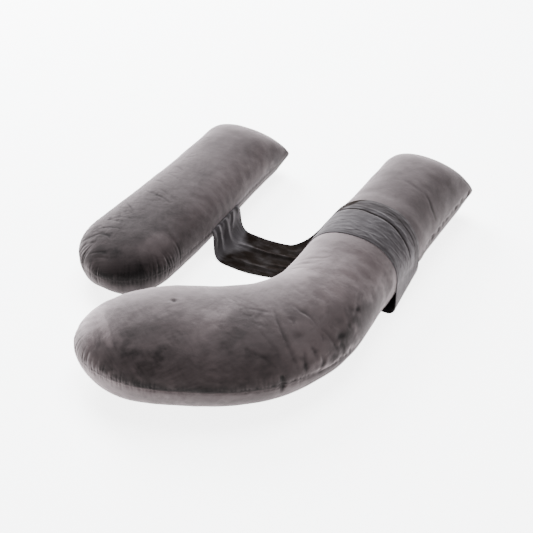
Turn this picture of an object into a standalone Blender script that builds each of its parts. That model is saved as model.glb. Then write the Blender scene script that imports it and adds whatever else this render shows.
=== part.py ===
"""Body pillow for side sleeping: a J-shaped main pillow, a straight side pillow and a belt between them.

The belt is sewn into the side pillow's side seam, lies on the floor, and ends in a sleeve round the main
pillow's arm. Metres, +Z up. The arm runs along +Y. The origin is the middle of the footprint, on the floor.
"""

from collections import namedtuple
from math import atan, cos, exp, hypot, pi, radians, sin, sqrt

import bmesh
import bpy
from mathutils import Vector

# Main pillow: a lobe with a round end, a bend, and a straight arm with a sewn-off end.
LOBE_STRAIGHT = 0.337
BEND_RADIUS = 0.356
BEND_ANGLE = radians(60.8)
ARM_STRAIGHT = 0.680
ARM_HEADING = radians(90)
LOBE_END = (-0.1836, -0.5395)  # the lobe's round tip in plan
LOBE_ROUND = 0.262  # how far the round end reaches along the spine

# Side pillow: almost straight, with one round end and one sewn-off end.
SIDE_LENGTH = 0.812
SIDE_HEADING = radians(88.8)
SIDE_END = (-0.3015, -0.279)  # its round tip in plan
SIDE_ROUND = 0.163
SIDE_BOW = 0.010  # its middle stands this much nearer the arm than its ends

# Both pillows.
PINCH = 0.112  # over this length a sewn-off end closes to its seam
END_THICKNESS = 0.006  # two layers of cover at the sewn-off end
END_RISE = 0.007  # the sewn-off end's seam is this much higher in the middle than at its corners
END_SKEW = 0.030  # and slants by this much per unit of width, its outer corner reaching further
SEAM_DEPTH = 0.003  # the side seam draws in this far
SEAM_EDGE = 0.009  # and this far to each side of it
SEAM_EDGE_SHARE = 0.25  # but no more than this share of a small section
MAIN_STEP, SIDE_STEP = 0.030, 0.034  # between rings
FLAT_SHARE = 0.52  # share of the width that lies flat on the floor
LEAST_FLAT = 0.3  # and the least of that share where a pillow closes
WIDEST_SHARE = 0.46  # the widest place is at least this share of the height above the floor
TOP_POWER, SIDE_POWER, LOW_POWER = 0.95, 0.92, 0.98  # under 1 is fuller than an ellipse
PINCH_POWER = 2.4  # how long the sewn-off end stays full before it closes
SINK = 0.008  # filling below the floor, which the floor flattens
COVER_FACES = 14  # from one side seam over the top to the other
LOW_SHARES = (0.50, 0.78, 1.00)  # edges of the lower panel's faces, from a side seam down to the flat base
CAP_RINGS, PINCH_RINGS = 9, 8  # rings at the round end and at the sewn-off end
CAP_FIRST = 0.45  # the first ring's place between the tip and the second ring
NEAREST_RING = 0.4  # an even ring this share of a step from a fixed ring is left out
SHUT_PLACE = 0.25  # share of the closing length after which the sewn-off end's seam tilts and rises fully
BELT_DENT = 0.0031  # the arm's underside is raised this much over the belt

# Belt.
CLOTH = 0.0026  # thickness of the doubled velvet
CLEARANCE = 0.002  # between the sleeve and the arm
SPLIT_FRONT, SPLIT_REAR = 0.112, 0.042  # X where the sleeve's layers meet, at the belt's front and rear edges
SPLIT_BOW = 4.0  # over 1 keeps the split near its front place for longer
SPLIT_LIP = (0.006, 0.0003)  # the inner corner of the split is this far into the sleeve and this much higher
TAIL_PULLS = ((0.0012, 0.017), (0.005, 0.062))  # distances from the seam that bend the hanging tail
RISE_SAG = 0.022  # the rising layer hangs this far under a straight line, at a third of its way up
SAG_FACTOR = 27 / 4  # brings t * (1 - t)^2, which has its highest value at a third, up to 1 there
HANG_X = 0.4345  # the sleeve's outer side hangs down here
CORNER_FRONT, CORNER_REAR = 0.014, 0.066  # radius where it turns under the arm, at its two edges
DENT_MARGIN, DENT_RAMP = 0.030, 0.020  # the arm's underside rises this far from the belt, over this length
BELT_COLUMNS = 20  # faces across the belt

# The pillow's size and the heights of its outer and inner side seams, along its spine from the round tip.
Station = namedtuple("Station", "along width height seam_out seam_in")
MAIN_STATIONS = [
    Station(0.00, 0.362, 0.206, 0.104, 0.104),
    Station(0.17, 0.361, 0.206, 0.104, 0.104),
    Station(0.33, 0.374, 0.200, 0.102, 0.104),
    Station(0.46, 0.376, 0.191, 0.094, 0.102),
    Station(0.58, 0.338, 0.188, 0.078, 0.100),
    Station(0.70, 0.290, 0.192, 0.066, 0.098),
    Station(0.84, 0.272, 0.198, 0.060, 0.098),
    Station(1.05, 0.267, 0.200, 0.058, 0.098),
    Station(1.26, 0.263, 0.198, 0.062, 0.098),
    Station(1.34, 0.270, 0.196, 0.066, 0.098),
    Station(1.40, 0.280, 0.194, 0.075, 0.093),
]
SIDE_STATIONS = [
    Station(0.00, 0.288, 0.160, 0.086, 0.086),
    Station(0.15, 0.288, 0.162, 0.080, 0.086),
    Station(0.32, 0.278, 0.163, 0.070, 0.086),
    Station(0.50, 0.264, 0.162, 0.068, 0.084),
    Station(0.64, 0.256, 0.161, 0.067, 0.082),
    Station(0.75, 0.258, 0.160, 0.064, 0.080),
    Station(0.82, 0.272, 0.158, 0.062, 0.078),
]

# A trough across the pillow. First and last are places round the cover, 0 at the outer seam, 1 at the inner.
CREASE_FADE = 0.12  # a crease fades out over this share of the way round the cover
Crease = namedtuple("Crease", "along reach depth first last")
MAIN_CREASES = [
    Crease(0.585, 0.020, 0.005, 0.62, 1.02),
    Crease(0.645, 0.018, 0.004, 0.70, 1.02),
    Crease(1.165, 0.014, 0.005, 0.10, 0.62),
]
SIDE_CREASES = [
    Crease(0.175, 0.018, 0.003, 0.55, 1.00),
    Crease(0.330, 0.020, 0.003, 0.40, 0.90),
]

# Points along the belt, from the side pillow's seam, round the arm and back to the split.
HANG_STEPS, FLOOR_STEPS = 9, 5
RISE_STEPS, OVER_STEPS, DROP_STEPS, CORNER_STEPS, RETURN_STEPS = 5, 16, 4, 5, 6
TAIL_STEPS = HANG_STEPS + FLOOR_STEPS
SLEEVE_STEPS = RISE_STEPS + OVER_STEPS + DROP_STEPS + CORNER_STEPS + RETURN_STEPS

# Y of the belt's front and rear edges. Along counts the points from the side pillow's seam.
BeltStation = namedtuple("BeltStation", "along front rear")
BELT_EDGES = [
    BeltStation(0, 0.068, 0.224),  # side pillow's seam
    BeltStation(4, 0.059, 0.219),
    BeltStation(8, 0.033, 0.198),  # touches down
    BeltStation(11, 0.027, 0.192),
    BeltStation(14, 0.054, 0.204),  # split
    BeltStation(19, 0.084, 0.260),  # meets the arm
    BeltStation(27, 0.098, 0.266),  # top of the arm
    BeltStation(32, 0.098, 0.248),
    BeltStation(35, 0.090, 0.236),  # widest part of the arm
    BeltStation(39, 0.080, 0.222),
    BeltStation(44, 0.068, 0.212),  # on the floor again
    BeltStation(50, 0.054, 0.204),  # split
]

# Ridges along the belt. Across is -1 at the front edge and 1 at the rear one. Start and end count as above.
PLEAT_FADE = 3  # steps over which a ridge rises and falls
PLEAT_START = 1.5  # steps over which the ridges rise from the side pillow's seam
Pleat = namedtuple("Pleat", "across reach height start end")
BELT_PLEATS = [
    Pleat(-0.86, 0.070, 0.0060, -PLEAT_FADE, 7.0),
    Pleat(-0.60, 0.065, 0.0065, -PLEAT_FADE, 8.5),
    Pleat(-0.34, 0.065, 0.0060, -PLEAT_FADE, 6.5),
    Pleat(-0.06, 0.070, 0.0065, -PLEAT_FADE, 8.0),
    Pleat(0.22, 0.065, 0.0060, -PLEAT_FADE, 7.0),
    Pleat(0.50, 0.065, 0.0065, -PLEAT_FADE, 7.5),
    Pleat(0.78, 0.065, 0.0055, -PLEAT_FADE, 6.0),
    Pleat(-0.66, 0.100, 0.0065, 8.5, 18),
    Pleat(-0.14, 0.100, 0.0080, 7.5, 18),
    Pleat(0.40, 0.100, 0.0070, 8.0, 18),
    Pleat(0.40, 0.070, 0.0040, 19, 33),
    Pleat(0.70, 0.065, 0.0045, 18, 34),
    Pleat(-0.94, 0.060, 0.0020, 20, 36),
]

VELVET_COVER = (0.155, 0.142, 0.142, 1.0)
VELVET_BELT = (0.060, 0.054, 0.054, 1.0)


def clear_scene():
    """Removes the objects that the scene starts with."""
    for thing in list(bpy.data.objects):
        bpy.data.objects.remove(thing)


def eased(t):
    """0 to 1 with no slope at either end."""
    t = min(1.0, max(0.0, t))
    return t * t * (3 - 2 * t)


def between(rows, along):
    """The table row at a place between two rows, on a smooth curve through the rows."""
    i = max(k for k in range(len(rows) - 1) if rows[k].along <= along or k == 0)
    low, high = rows[i], rows[i + 1]
    before, after = rows[max(i - 1, 0)], rows[min(i + 2, len(rows) - 1)]
    gap = high.along - low.along
    t = (along - low.along) / gap
    values = []
    for p, q, r, w in zip(before, low, high, after):
        slope_in = (r - p) / max(high.along - before.along, 1e-6) * gap
        slope_out = (w - q) / max(after.along - low.along, 1e-6) * gap
        start, bend = t * (t - 1) ** 2, t * t * (t - 1)
        values.append(q + (r - q) * t * t * (3 - 2 * t) + slope_in * start + slope_out * bend)
    return type(low)(*values)


def spine_of_main(along):
    """(x, y, heading) of the main pillow's spine, measured from the lobe's round tip."""
    heading = ARM_HEADING - BEND_ANGLE
    x, y = LOBE_END
    step = min(along, LOBE_STRAIGHT)
    x, y = x + step * cos(heading), y + step * sin(heading)
    turn = min(max(along - LOBE_STRAIGHT, 0.0) / BEND_RADIUS, BEND_ANGLE)
    x += BEND_RADIUS * (sin(heading + turn) - sin(heading))
    y -= BEND_RADIUS * (cos(heading + turn) - cos(heading))
    heading += turn
    rest = max(along - LOBE_STRAIGHT - BEND_RADIUS * BEND_ANGLE, 0.0)
    return x + rest * cos(heading), y + rest * sin(heading), heading


def spine_of_side(along):
    """(x, y, heading) of the side pillow's spine, measured from its round tip."""
    share = 2 * along / SIDE_LENGTH - 1
    bow, slope = SIDE_BOW * (1 - share**2), -4 * SIDE_BOW * share / SIDE_LENGTH
    x = SIDE_END[0] + along * cos(SIDE_HEADING) + bow * sin(SIDE_HEADING)
    y = SIDE_END[1] + along * sin(SIDE_HEADING) - bow * cos(SIDE_HEADING)
    return x, y, SIDE_HEADING - atan(slope)


MAIN_LENGTH = LOBE_STRAIGHT + BEND_RADIUS * BEND_ANGLE + ARM_STRAIGHT


def outline(half, flat, base, middle, top, steps=24):
    """The section's line as (across, height), from one edge of the flat base over the top to the other."""
    line = []
    for i in range(steps + 1):
        a = pi / 2 * (1 - i / steps)
        out = cos(a) ** LOW_POWER
        line.append((flat + (half - flat) * out, middle - (middle - base) * sin(a) ** LOW_POWER))
    for i in range(1, steps + 1):
        a = pi / 2 * i / steps
        out = max(cos(a), 0.0) ** SIDE_POWER
        line.append((half * out, middle + (top - middle) * sin(a) ** TOP_POWER))
    return line + [(-across, height) for across, height in line[-2::-1]]


def run_of(points):
    """Running length at each point of a line."""
    run = [0.0]
    for a, b in zip(points, points[1:]):
        run.append(run[-1] + hypot(b[0] - a[0], b[1] - a[1]))
    return run


def at(points, run, where):
    """The point of a line at a running length."""
    where = min(max(where, 0.0), run[-1])
    for i in range(1, len(run)):
        if where <= run[i]:
            share = (where - run[i - 1]) / max(run[i] - run[i - 1], 1e-9)
            return tuple(p + (q - p) * share for p, q in zip(points[i - 1], points[i]))
    return points[-1]


def crossing(points, run, height):
    """Running length at which a line first reaches a height."""
    for i in range(1, len(points)):
        if points[i][1] >= height:
            share = (height - points[i - 1][1]) / max(points[i][1] - points[i - 1][1], 1e-9)
            return run[i - 1] + (run[i] - run[i - 1]) * max(share, 0.0)
    return run[len(points) // 4]


def widest_height(station):
    """Height of the section's widest place."""
    return max((station.seam_out + station.seam_in) / 2, WIDEST_SHARE * station.height)


def ring_places(whole, outer_seam, inner_low):
    """Running lengths of a ring's points: the cover's, from seam to seam, and each side's lower panel's."""
    inner_seam = whole - inner_low
    edge = min(SEAM_EDGE, SEAM_EDGE_SHARE * min(outer_seam, inner_low, inner_seam - outer_seam))
    rest = inner_seam - outer_seam - 2 * edge
    cover = [outer_seam + edge + rest * i / (COVER_FACES - 2) for i in range(COVER_FACES - 1)]
    inner = [inner_seam + edge] + [inner_seam + inner_low * share for share in LOW_SHARES]
    outer = [outer_seam * (1 - share) for share in LOW_SHARES[::-1]] + [outer_seam - edge]
    return [outer_seam] + cover + [inner_seam], inner, outer


def section(station, round_share, pinch_share, dent):
    """One ring of the pillow as (across, height) points, from the outer seam over the top and back under."""
    closing = sqrt(max(1 - pinch_share**PINCH_POWER, 0.0))
    swell = sqrt(1 - round_share**2) * closing
    sink = sqrt(1 - round_share**3) * closing
    half = station.width / 2 * sqrt(1 - round_share**2)
    seam = (station.seam_out + station.seam_in) / 2
    middle = seam + (widest_height(station) - seam) * swell
    top = middle + (station.height - middle) * swell + END_THICKNESS / 2 * pinch_share
    base = max(dent, middle - (middle + SINK) * sink - END_THICKNESS / 2 * pinch_share)
    line = outline(half, half * FLAT_SHARE * max(sink, LEAST_FLAT), base, middle, top)
    run = run_of(line)
    outer_seam = crossing(line, run, middle + (station.seam_out - middle) * swell)
    inner_low = crossing(line, run, middle + (station.seam_in - middle) * swell)
    cover, inner, outer = ring_places(run[-1], outer_seam, inner_low)
    ring = [at(line, run, where) for where in cover + inner]
    ring.append((0.0, base))
    ring += [at(line, run, where) for where in outer]
    draw_in = min(SEAM_DEPTH, SEAM_EDGE_SHARE * half)
    ring[0] = (ring[0][0] - draw_in, ring[0][1])
    ring[COVER_FACES] = (ring[COVER_FACES][0] + draw_in, ring[COVER_FACES][1])
    # The sewn-off end's seam tilts from one side seam to the other, and is a little higher in its middle.
    shut = (1 - swell) * eased(pinch_share / SHUT_PLACE)
    tilt = (station.seam_out - station.seam_in) / 2 * shut
    rise = END_RISE * shut
    return [(x, max(dent, z + tilt * x / half + rise * (1 - (x / half) ** 2))) for x, z in ring]


def stations_along(length, round_reach, step, creases, more_rings):
    """Places of the rings: close together at both ends and over each crease, and even between."""
    quarter = [pi / 2 * (i + CAP_FIRST) / (CAP_RINGS + CAP_FIRST) for i in range(CAP_RINGS)]
    cap = [round_reach * (1 - cos(a)) for a in quarter]
    pinch = [length - PINCH * (1 - sin(pi / 2 * i / (PINCH_RINGS - 1))) for i in range(PINCH_RINGS)]
    fixed = more_rings + [crease.along + side * crease.reach for crease in creases for side in (-1, 0, 1)]
    count = round((pinch[0] - round_reach) / step)
    body = [round_reach + (pinch[0] - round_reach) * i / count for i in range(count)]
    body = [along for along in body if all(abs(along - other) > NEAREST_RING * step for other in fixed)]
    return sorted(cap + body + pinch + fixed)


def crease_depth(creases, along, share):
    """How deep the creases are at a place on the upper cover."""
    depth = 0.0
    for crease in creases:
        fade = eased((share - crease.first) / CREASE_FADE) * eased((crease.last - share) / CREASE_FADE)
        depth += crease.depth * fade * exp(-(((along - crease.along) / crease.reach) ** 2))
    return depth


def pillow(name, shape, material):
    """A filled pillow: rings along its spine, a round tip, and a sewn-off end."""
    mesh_maker = bmesh.new()
    rings = []
    for along in stations_along(shape.length, shape.round_reach, shape.step, shape.creases, shape.more_rings):
        x, y, heading = shape.spine(along)
        round_share = max(1 - along / shape.round_reach, 0.0)
        pinch_share = max(1 - (shape.length - along) / PINCH, 0.0)
        ring = section(between(shape.stations, along), round_share, pinch_share, shape.dent_at(y))
        skew = END_SKEW * eased(pinch_share)
        out_x = sin(heading) + skew * cos(heading)
        out_y = skew * sin(heading) - cos(heading)
        verts = []
        for i, (across, height) in enumerate(ring):
            if i <= COVER_FACES:
                height -= crease_depth(shape.creases, along, i / COVER_FACES)
            verts.append(mesh_maker.verts.new((x + across * out_x, y + across * out_y, height)))
        rings.append(verts)
    x, y, _ = shape.spine(0.0)
    first_station = shape.stations[0]
    tip = mesh_maker.verts.new((x, y, (first_station.seam_out + first_station.seam_in) / 2))
    count = len(rings[0])
    for i in range(count):
        mesh_maker.faces.new((tip, rings[0][i], rings[0][(i + 1) % count]))
    for first, second in zip(rings, rings[1:]):
        for i in range(count):
            j = (i + 1) % count
            mesh_maker.faces.new((first[i], second[i], second[j], first[j]))
    mesh_maker.faces.new(list(rings[-1]))
    return finished(name, mesh_maker, material)


def finished(name, mesh_maker, material):
    """Turns the faces outwards, shades them smooth and links the object."""
    bmesh.ops.recalc_face_normals(mesh_maker, faces=mesh_maker.faces)
    mesh = bpy.data.meshes.new(name)
    mesh_maker.to_mesh(mesh)
    mesh_maker.free()
    mesh.shade_smooth()
    mesh.set_sharp_from_angle(angle=radians(60))
    mesh.materials.append(material)
    thing = bpy.data.objects.new(name, mesh)
    bpy.context.scene.collection.objects.link(thing)
    return thing


def dent_span():
    """Y from which and to which the arm's underside is raised."""
    return BELT_EDGES[-1].front - DENT_MARGIN, BELT_EDGES[-3].rear + DENT_MARGIN


def dent_under_arm(y):
    """Height of the arm's underside, which rides over the belt."""
    front, rear = dent_span()
    return BELT_DENT * eased((y - front) / DENT_RAMP) * eased((rear - y) / DENT_RAMP)


def arm_line(y):
    """The arm's section at a place along it, as a line over the top from inside to outside, with world X."""
    along = MAIN_LENGTH - (spine_of_main(MAIN_LENGTH)[1] - y)
    station = between(MAIN_STATIONS, along)
    half = station.width / 2
    line = outline(half, half * FLAT_SHARE, BELT_DENT, widest_height(station), station.height)
    x = spine_of_main(along)[0]
    return [(x + across, height) for across, height in line[::-1]]


def grown(line, by):
    """A line moved outwards, to the left of its run."""
    out = []
    for i, point in enumerate(line):
        a, b = line[max(i - 1, 0)], line[min(i + 1, len(line) - 1)]
        long = max(hypot(b[0] - a[0], b[1] - a[1]), 1e-9)
        out.append((point[0] - (b[1] - a[1]) / long * by, point[1] + (b[0] - a[0]) / long * by))
    return out


def side_seam(y):
    """(x, height) of the side pillow's drawn-in side seam on the side that faces the arm."""
    along = (y - SIDE_END[1]) / sin(SIDE_HEADING)
    ring = section(between(SIDE_STATIONS, along), 0.0, 0.0, 0.0)
    x, _, heading = spine_of_side(along)
    return x + ring[0][0] * sin(heading), ring[0][1]


def split_x(across):
    """X where the sleeve's two layers are sewn together. The seam crosses the belt at a slant."""
    return SPLIT_FRONT + (SPLIT_REAR - SPLIT_FRONT) * ((across + 1) / 2) ** SPLIT_BOW


def belt_line(y, across):
    """The middle of the belt's cloth, from the side pillow down to the floor, over the arm and back under."""
    side_x, seam_height = side_seam(y)
    floor = CLOTH / 2
    pulls = TAIL_PULLS[0] + TAIL_PULLS[1]
    line = []
    for i in range(HANG_STEPS):
        t = i / HANG_STEPS
        shares = ((1 - t) ** 3, 3 * t * (1 - t) ** 2, 3 * t * t * (1 - t), t**3)
        out = sum(share * pull for share, pull in zip(shares, pulls))
        low = shares[2] + shares[3]
        line.append((side_x + out, seam_height + (floor - seam_height) * low))
    split = split_x(across)
    x = side_x + pulls[-1]
    line += [(x + (split - x) * i / FLOOR_STEPS, floor) for i in range(FLOOR_STEPS)]

    over = grown(arm_line(y), CLEARANCE + floor)
    start = max(range(len(over) // 2), key=lambda i: (over[i][1] - floor) / max(over[i][0] - split, 1e-6))
    widest = max(range(len(over)), key=lambda i: over[i][0])
    for i in range(RISE_STEPS):
        t = i / RISE_STEPS
        sag = RISE_SAG * SAG_FACTOR * t * (1 - t) ** 2
        height = floor + (over[start][1] - floor) * t
        line.append((split + (over[start][0] - split) * t + sag / 2, height - sag / 2))
    over = over[start : widest + 1]
    run = run_of(over)
    line += [at(over, run, run[-1] * i / OVER_STEPS) for i in range(OVER_STEPS)]

    corner = CORNER_FRONT + (CORNER_REAR - CORNER_FRONT) * (across + 1) / 2
    x, drop = over[-1]
    low = corner + floor
    for i in range(DROP_STEPS):
        t = i / DROP_STEPS
        line.append((x + (HANG_X - x) * eased(t), drop - (drop - low) * t))
    for i in range(CORNER_STEPS):
        a = pi / 2 * i / CORNER_STEPS
        line.append((HANG_X - corner + corner * cos(a), low - corner * sin(a)))
    x = HANG_X - corner
    return line + [(x + (split - x) * i / RETURN_STEPS, floor) for i in range(RETURN_STEPS + 1)]


def pleat_height(step, across):
    """Height of the ridges at a place on the belt. They stand off the floor and off the arm."""
    height = 0.0
    for pleat in BELT_PLEATS:
        fade = eased((step - pleat.start) / PLEAT_FADE) * eased((pleat.end - step) / PLEAT_FADE)
        height += pleat.height * fade * exp(-(((across - pleat.across) / pleat.reach) ** 2))
    return height * eased(step / PLEAT_START)


def belt_point(step, across):
    """(middle of the cloth, outward direction) at a place on the belt."""
    edges = between(BELT_EDGES, step)
    y = edges.front + (edges.rear - edges.front) * (across + 1) / 2
    line = belt_line(y, across)
    x, height = line[step]
    back, ahead = line[max(step - 1, 0)], line[min(step + 1, len(line) - 1)]
    if step == TAIL_STEPS:
        back = (x - 1, height)
        ahead = (x + 1, height)
    return Vector((x, y, height)), Vector((back[1] - ahead[1], 0.0, ahead[0] - back[0])).normalized()


def belt(material):
    """The belt, one piece of cloth: a tail from the side pillow's seam, and a sleeve round the arm."""
    mesh_maker = bmesh.new()
    columns = []
    for k in range(BELT_COLUMNS + 1):
        across = -1 + 2 * k / BELT_COLUMNS
        outer, inner, under = [], [], []
        for step in range(TAIL_STEPS + SLEEVE_STEPS):
            middle, outward = belt_point(step, across)
            middle += outward * pleat_height(step, across)
            surface = middle + outward * CLOTH / 2
            surface.z = max(surface.z, 0.0)
            outer.append(mesh_maker.verts.new(surface))
            if step < TAIL_STEPS:
                under.append(mesh_maker.verts.new(middle - outward * CLOTH / 2))
            elif step == TAIL_STEPS:
                lip, lift = SPLIT_LIP
                inner.append(mesh_maker.verts.new(middle + Vector((lip, 0.0, lift))))
            else:
                inner.append(mesh_maker.verts.new(middle - outward * CLOTH / 2))
        middle, _ = belt_point(TAIL_STEPS, across)
        under.append(mesh_maker.verts.new((middle.x, middle.y, 0.0)))
        columns.append((outer + under[::-1], inner))
    skin_belt(mesh_maker.faces.new, columns)
    return finished("belt", mesh_maker, material)


def skin_belt(new_face, columns):
    """Joins the belt's points with faces: its outside, the inside of the sleeve, and the two long edges."""
    for (outer, inner), (next_outer, next_inner) in zip(columns, columns[1:]):
        for a, b in ((outer, next_outer), (next_inner, inner)):
            for i in range(len(a)):
                j = (i + 1) % len(a)
                new_face((a[i], a[j], b[j], b[i]))
    for outer, inner in (columns[0], columns[-1]):
        split, end = TAIL_STEPS, TAIL_STEPS + SLEEVE_STEPS
        last = len(outer) - 1
        for i in range(split - 1):
            new_face((outer[i], outer[i + 1], outer[last - i - 1], outer[last - i]))
        new_face((outer[split - 1], outer[split], inner[0], outer[end], outer[end + 1]))
        for i in range(SLEEVE_STEPS - 1):
            new_face((outer[split + i], outer[split + i + 1], inner[i + 1], inner[i]))
        new_face((outer[end - 1], outer[end], inner[0], inner[-1]))


def velvet(name, colour, roughness):
    """Short-pile velvet as a plain cloth material."""
    material = bpy.data.materials.new(name)
    material.use_nodes = True
    shader = material.node_tree.nodes["Principled BSDF"]
    shader.inputs["Base Color"].default_value = colour
    shader.inputs["Roughness"].default_value = roughness
    shader.inputs["Metallic"].default_value = 0.0
    return material


def dent_rings():
    """Places along the main pillow's spine where its underside starts and stops rising over the belt."""
    front, rear = dent_span()
    offset = MAIN_LENGTH - spine_of_main(MAIN_LENGTH)[1]
    return [y + offset for y in (front, front + DENT_RAMP, rear - DENT_RAMP, rear)]


def no_dent(_):
    """Height of an underside that lies flat on the floor."""
    return 0.0


# What makes one pillow differ from the other. More rings are places that need a ring of their own.
Shape = namedtuple("Shape", "spine length round_reach step stations creases dent_at more_rings")


def main():
    clear_scene()
    cover = velvet("velvet_cover", VELVET_COVER, 0.85)
    belt_cloth = velvet("velvet_belt", VELVET_BELT, 0.9)
    main_shape = Shape(
        spine=spine_of_main,
        length=MAIN_LENGTH,
        round_reach=LOBE_ROUND,
        step=MAIN_STEP,
        stations=MAIN_STATIONS,
        creases=MAIN_CREASES,
        dent_at=dent_under_arm,
        more_rings=dent_rings(),
    )
    side_shape = Shape(
        spine=spine_of_side,
        length=SIDE_LENGTH,
        round_reach=SIDE_ROUND,
        step=SIDE_STEP,
        stations=SIDE_STATIONS,
        creases=SIDE_CREASES,
        dent_at=no_dent,
        more_rings=[],
    )
    pillow("main_pillow", main_shape, cover)
    pillow("side_pillow", side_shape, cover)
    belt(belt_cloth)


main()
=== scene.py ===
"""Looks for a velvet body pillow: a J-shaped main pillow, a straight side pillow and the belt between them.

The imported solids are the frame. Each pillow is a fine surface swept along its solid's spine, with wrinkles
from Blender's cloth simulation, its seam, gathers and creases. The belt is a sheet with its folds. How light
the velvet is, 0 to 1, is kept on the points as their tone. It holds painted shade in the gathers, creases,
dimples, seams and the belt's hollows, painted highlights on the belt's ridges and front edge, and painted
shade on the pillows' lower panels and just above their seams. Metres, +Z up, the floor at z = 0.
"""

from collections import namedtuple
from math import cos, hypot, pi, radians, sin

import bpy
import numpy as np
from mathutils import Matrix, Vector, kdtree, noise


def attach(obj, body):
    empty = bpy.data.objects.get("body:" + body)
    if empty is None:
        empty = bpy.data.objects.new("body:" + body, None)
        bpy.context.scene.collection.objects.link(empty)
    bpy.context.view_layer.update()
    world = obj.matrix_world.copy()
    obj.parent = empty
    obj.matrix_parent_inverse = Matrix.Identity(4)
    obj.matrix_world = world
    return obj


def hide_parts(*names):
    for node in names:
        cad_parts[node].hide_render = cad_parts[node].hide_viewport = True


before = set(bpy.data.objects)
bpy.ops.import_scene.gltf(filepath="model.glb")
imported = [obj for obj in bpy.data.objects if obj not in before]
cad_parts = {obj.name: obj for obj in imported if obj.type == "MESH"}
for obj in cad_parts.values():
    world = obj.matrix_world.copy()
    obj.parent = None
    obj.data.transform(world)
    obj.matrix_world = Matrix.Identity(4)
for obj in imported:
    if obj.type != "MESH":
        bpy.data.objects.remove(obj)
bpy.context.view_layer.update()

# ---- sizes, as in the solids

LOBE_STRAIGHT, ARM_STRAIGHT = 0.337, 0.680
BEND_RADIUS, BEND_ANGLE = 0.356, radians(60.8)
ARM_HEADING = radians(90)
LOBE_END, LOBE_ROUND = (-0.1836, -0.5395), 0.262
MAIN_LENGTH = LOBE_STRAIGHT + BEND_RADIUS * BEND_ANGLE + ARM_STRAIGHT

SIDE_LENGTH, SIDE_HEADING, SIDE_BOW = 0.812, radians(88.8), 0.010
SIDE_END, SIDE_ROUND = (-0.3015, -0.279), 0.163

PINCH, PINCH_POWER, SHUT_PLACE = 0.112, 2.4, 0.25
END_THICKNESS, END_RISE, END_SKEW = 0.006, 0.007, 0.030
END_CORNER = 0.009  # how round the sewn-off ends' corners are
FLAT_SHARE, LEAST_FLAT, WIDEST_SHARE = 0.52, 0.3, 0.46
TOP_POWER, SIDE_POWER, LOW_POWER = 0.95, 0.92, 0.98
SINK, SEAM_DEPTH, BELT_DENT = 0.008, 0.003, 0.0031
DENT_FRONT, DENT_REAR, DENT_RAMP = 0.022, 0.282, 0.020


def rows_of(kind, rows):
    """Rows of numbers under the names of their kind."""
    return [kind(*row) for row in rows]


def rows_in_mm(kind, rows):
    """Rows of millimetres, as metres under the names of their kind."""
    return [kind(*(np.array(value) / 1000 for value in row)) for row in rows]


# The pillow's size and the heights of its outer and inner side seams, along its spine from the round tip.
Station = namedtuple("Station", "along width height seam_out seam_in")
MAIN_STATIONS = rows_in_mm(Station, [
    (0, 362, 206, 104, 104), (170, 361, 206, 104, 104), (330, 374, 200, 102, 104),
    (460, 376, 191, 94, 102), (580, 338, 188, 78, 100), (700, 290, 192, 66, 98),
    (840, 272, 198, 60, 98), (1050, 267, 200, 82, 98), (1260, 263, 198, 85, 98),
    (1340, 270, 196, 85, 98), (1400, 280, 194, 75, 93),
])
SIDE_STATIONS = rows_in_mm(Station, [
    (0, 288, 160, 86, 86), (150, 288, 162, 80, 86), (320, 278, 163, 70, 86), (500, 264, 162, 68, 84),
    (640, 256, 161, 67, 82), (750, 258, 160, 64, 80), (820, 272, 158, 62, 78),
])

# ---- small helpers


def eased(t):
    """0 to 1 with no slope at either end."""
    t = np.clip(t, 0.0, 1.0)
    return t * t * (3 - 2 * t)


def bell(t):
    """1 at 0, falling to nothing on both sides."""
    return np.exp(-np.square(t))


def within(value, start, end, ease):
    """1 between two limits, falling to 0 over a stretch inside each."""
    return eased((value - start) / ease) * eased((end - value) / ease)


def unit(ways):
    """Directions made one long."""
    return ways / np.maximum(np.linalg.norm(ways, axis=-1, keepdims=True), 1e-12)


def straight(start, end, shares):
    """Two rows of coordinates on the straight way between two points."""
    return np.array([a + (b - a) * shares for a, b in zip(start, end)])


def between(rows, along):
    """The table's values at each place, on a smooth curve through the rows."""
    table = np.array(rows)
    places = table[:, 0]
    i = np.clip(np.searchsorted(places, along, side="right") - 1, 0, len(rows) - 2)
    before, after = np.maximum(i - 1, 0), np.minimum(i + 2, len(rows) - 1)
    gap = (places[i + 1] - places[i])[:, None]
    t = (along[:, None] - places[i][:, None]) / gap
    slope_in = (table[i + 1] - table[before]) / (places[i + 1] - places[before])[:, None] * gap
    slope_out = (table[after] - table[i]) / (places[after] - places[i])[:, None] * gap
    rise = (table[i + 1] - table[i]) * t * t * (3 - 2 * t)
    return table[i] + rise + slope_in * t * (t - 1) ** 2 + slope_out * t * t * (t - 1)


def looked_up(rows, where, column=1):
    """A column of a table at each place, on straight lines between the rows."""
    table = np.array(rows)
    return np.interp(where, table[:, 0], table[:, column])


def run_of(points):
    """Running length at each point of a line, or of every line of an array."""
    run = np.cumsum(np.linalg.norm(np.diff(points, axis=-2), axis=-1), axis=-1)
    return np.concatenate([0 * run[..., :1], run], axis=-1)


def spots_on(line, run, where):
    """A line's columns at each running length."""
    return np.stack([np.interp(where, run, column) for column in line.T], 1)


SEED_SHIFT = (7.3, 3.1, 5.7)  # takes each seed's noise to a place of its own
NOISE_FALL, NOISE_STEP = 0.9, 2.0  # how much weaker and finer each octave is


def smooth_noise(points, size, seed, octaves=2):
    """Soft noise between about -1 and 1, with lumps of the given size. Each use has a seed of its own."""
    shift = Vector([seed * share for share in SEED_SHIFT])
    flat = points.reshape(-1, 3) / size
    values = [noise.fractal(Vector(p) + shift, NOISE_FALL, NOISE_STEP, octaves) for p in flat]
    return np.array(values).reshape(points.shape[:-1])


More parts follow.
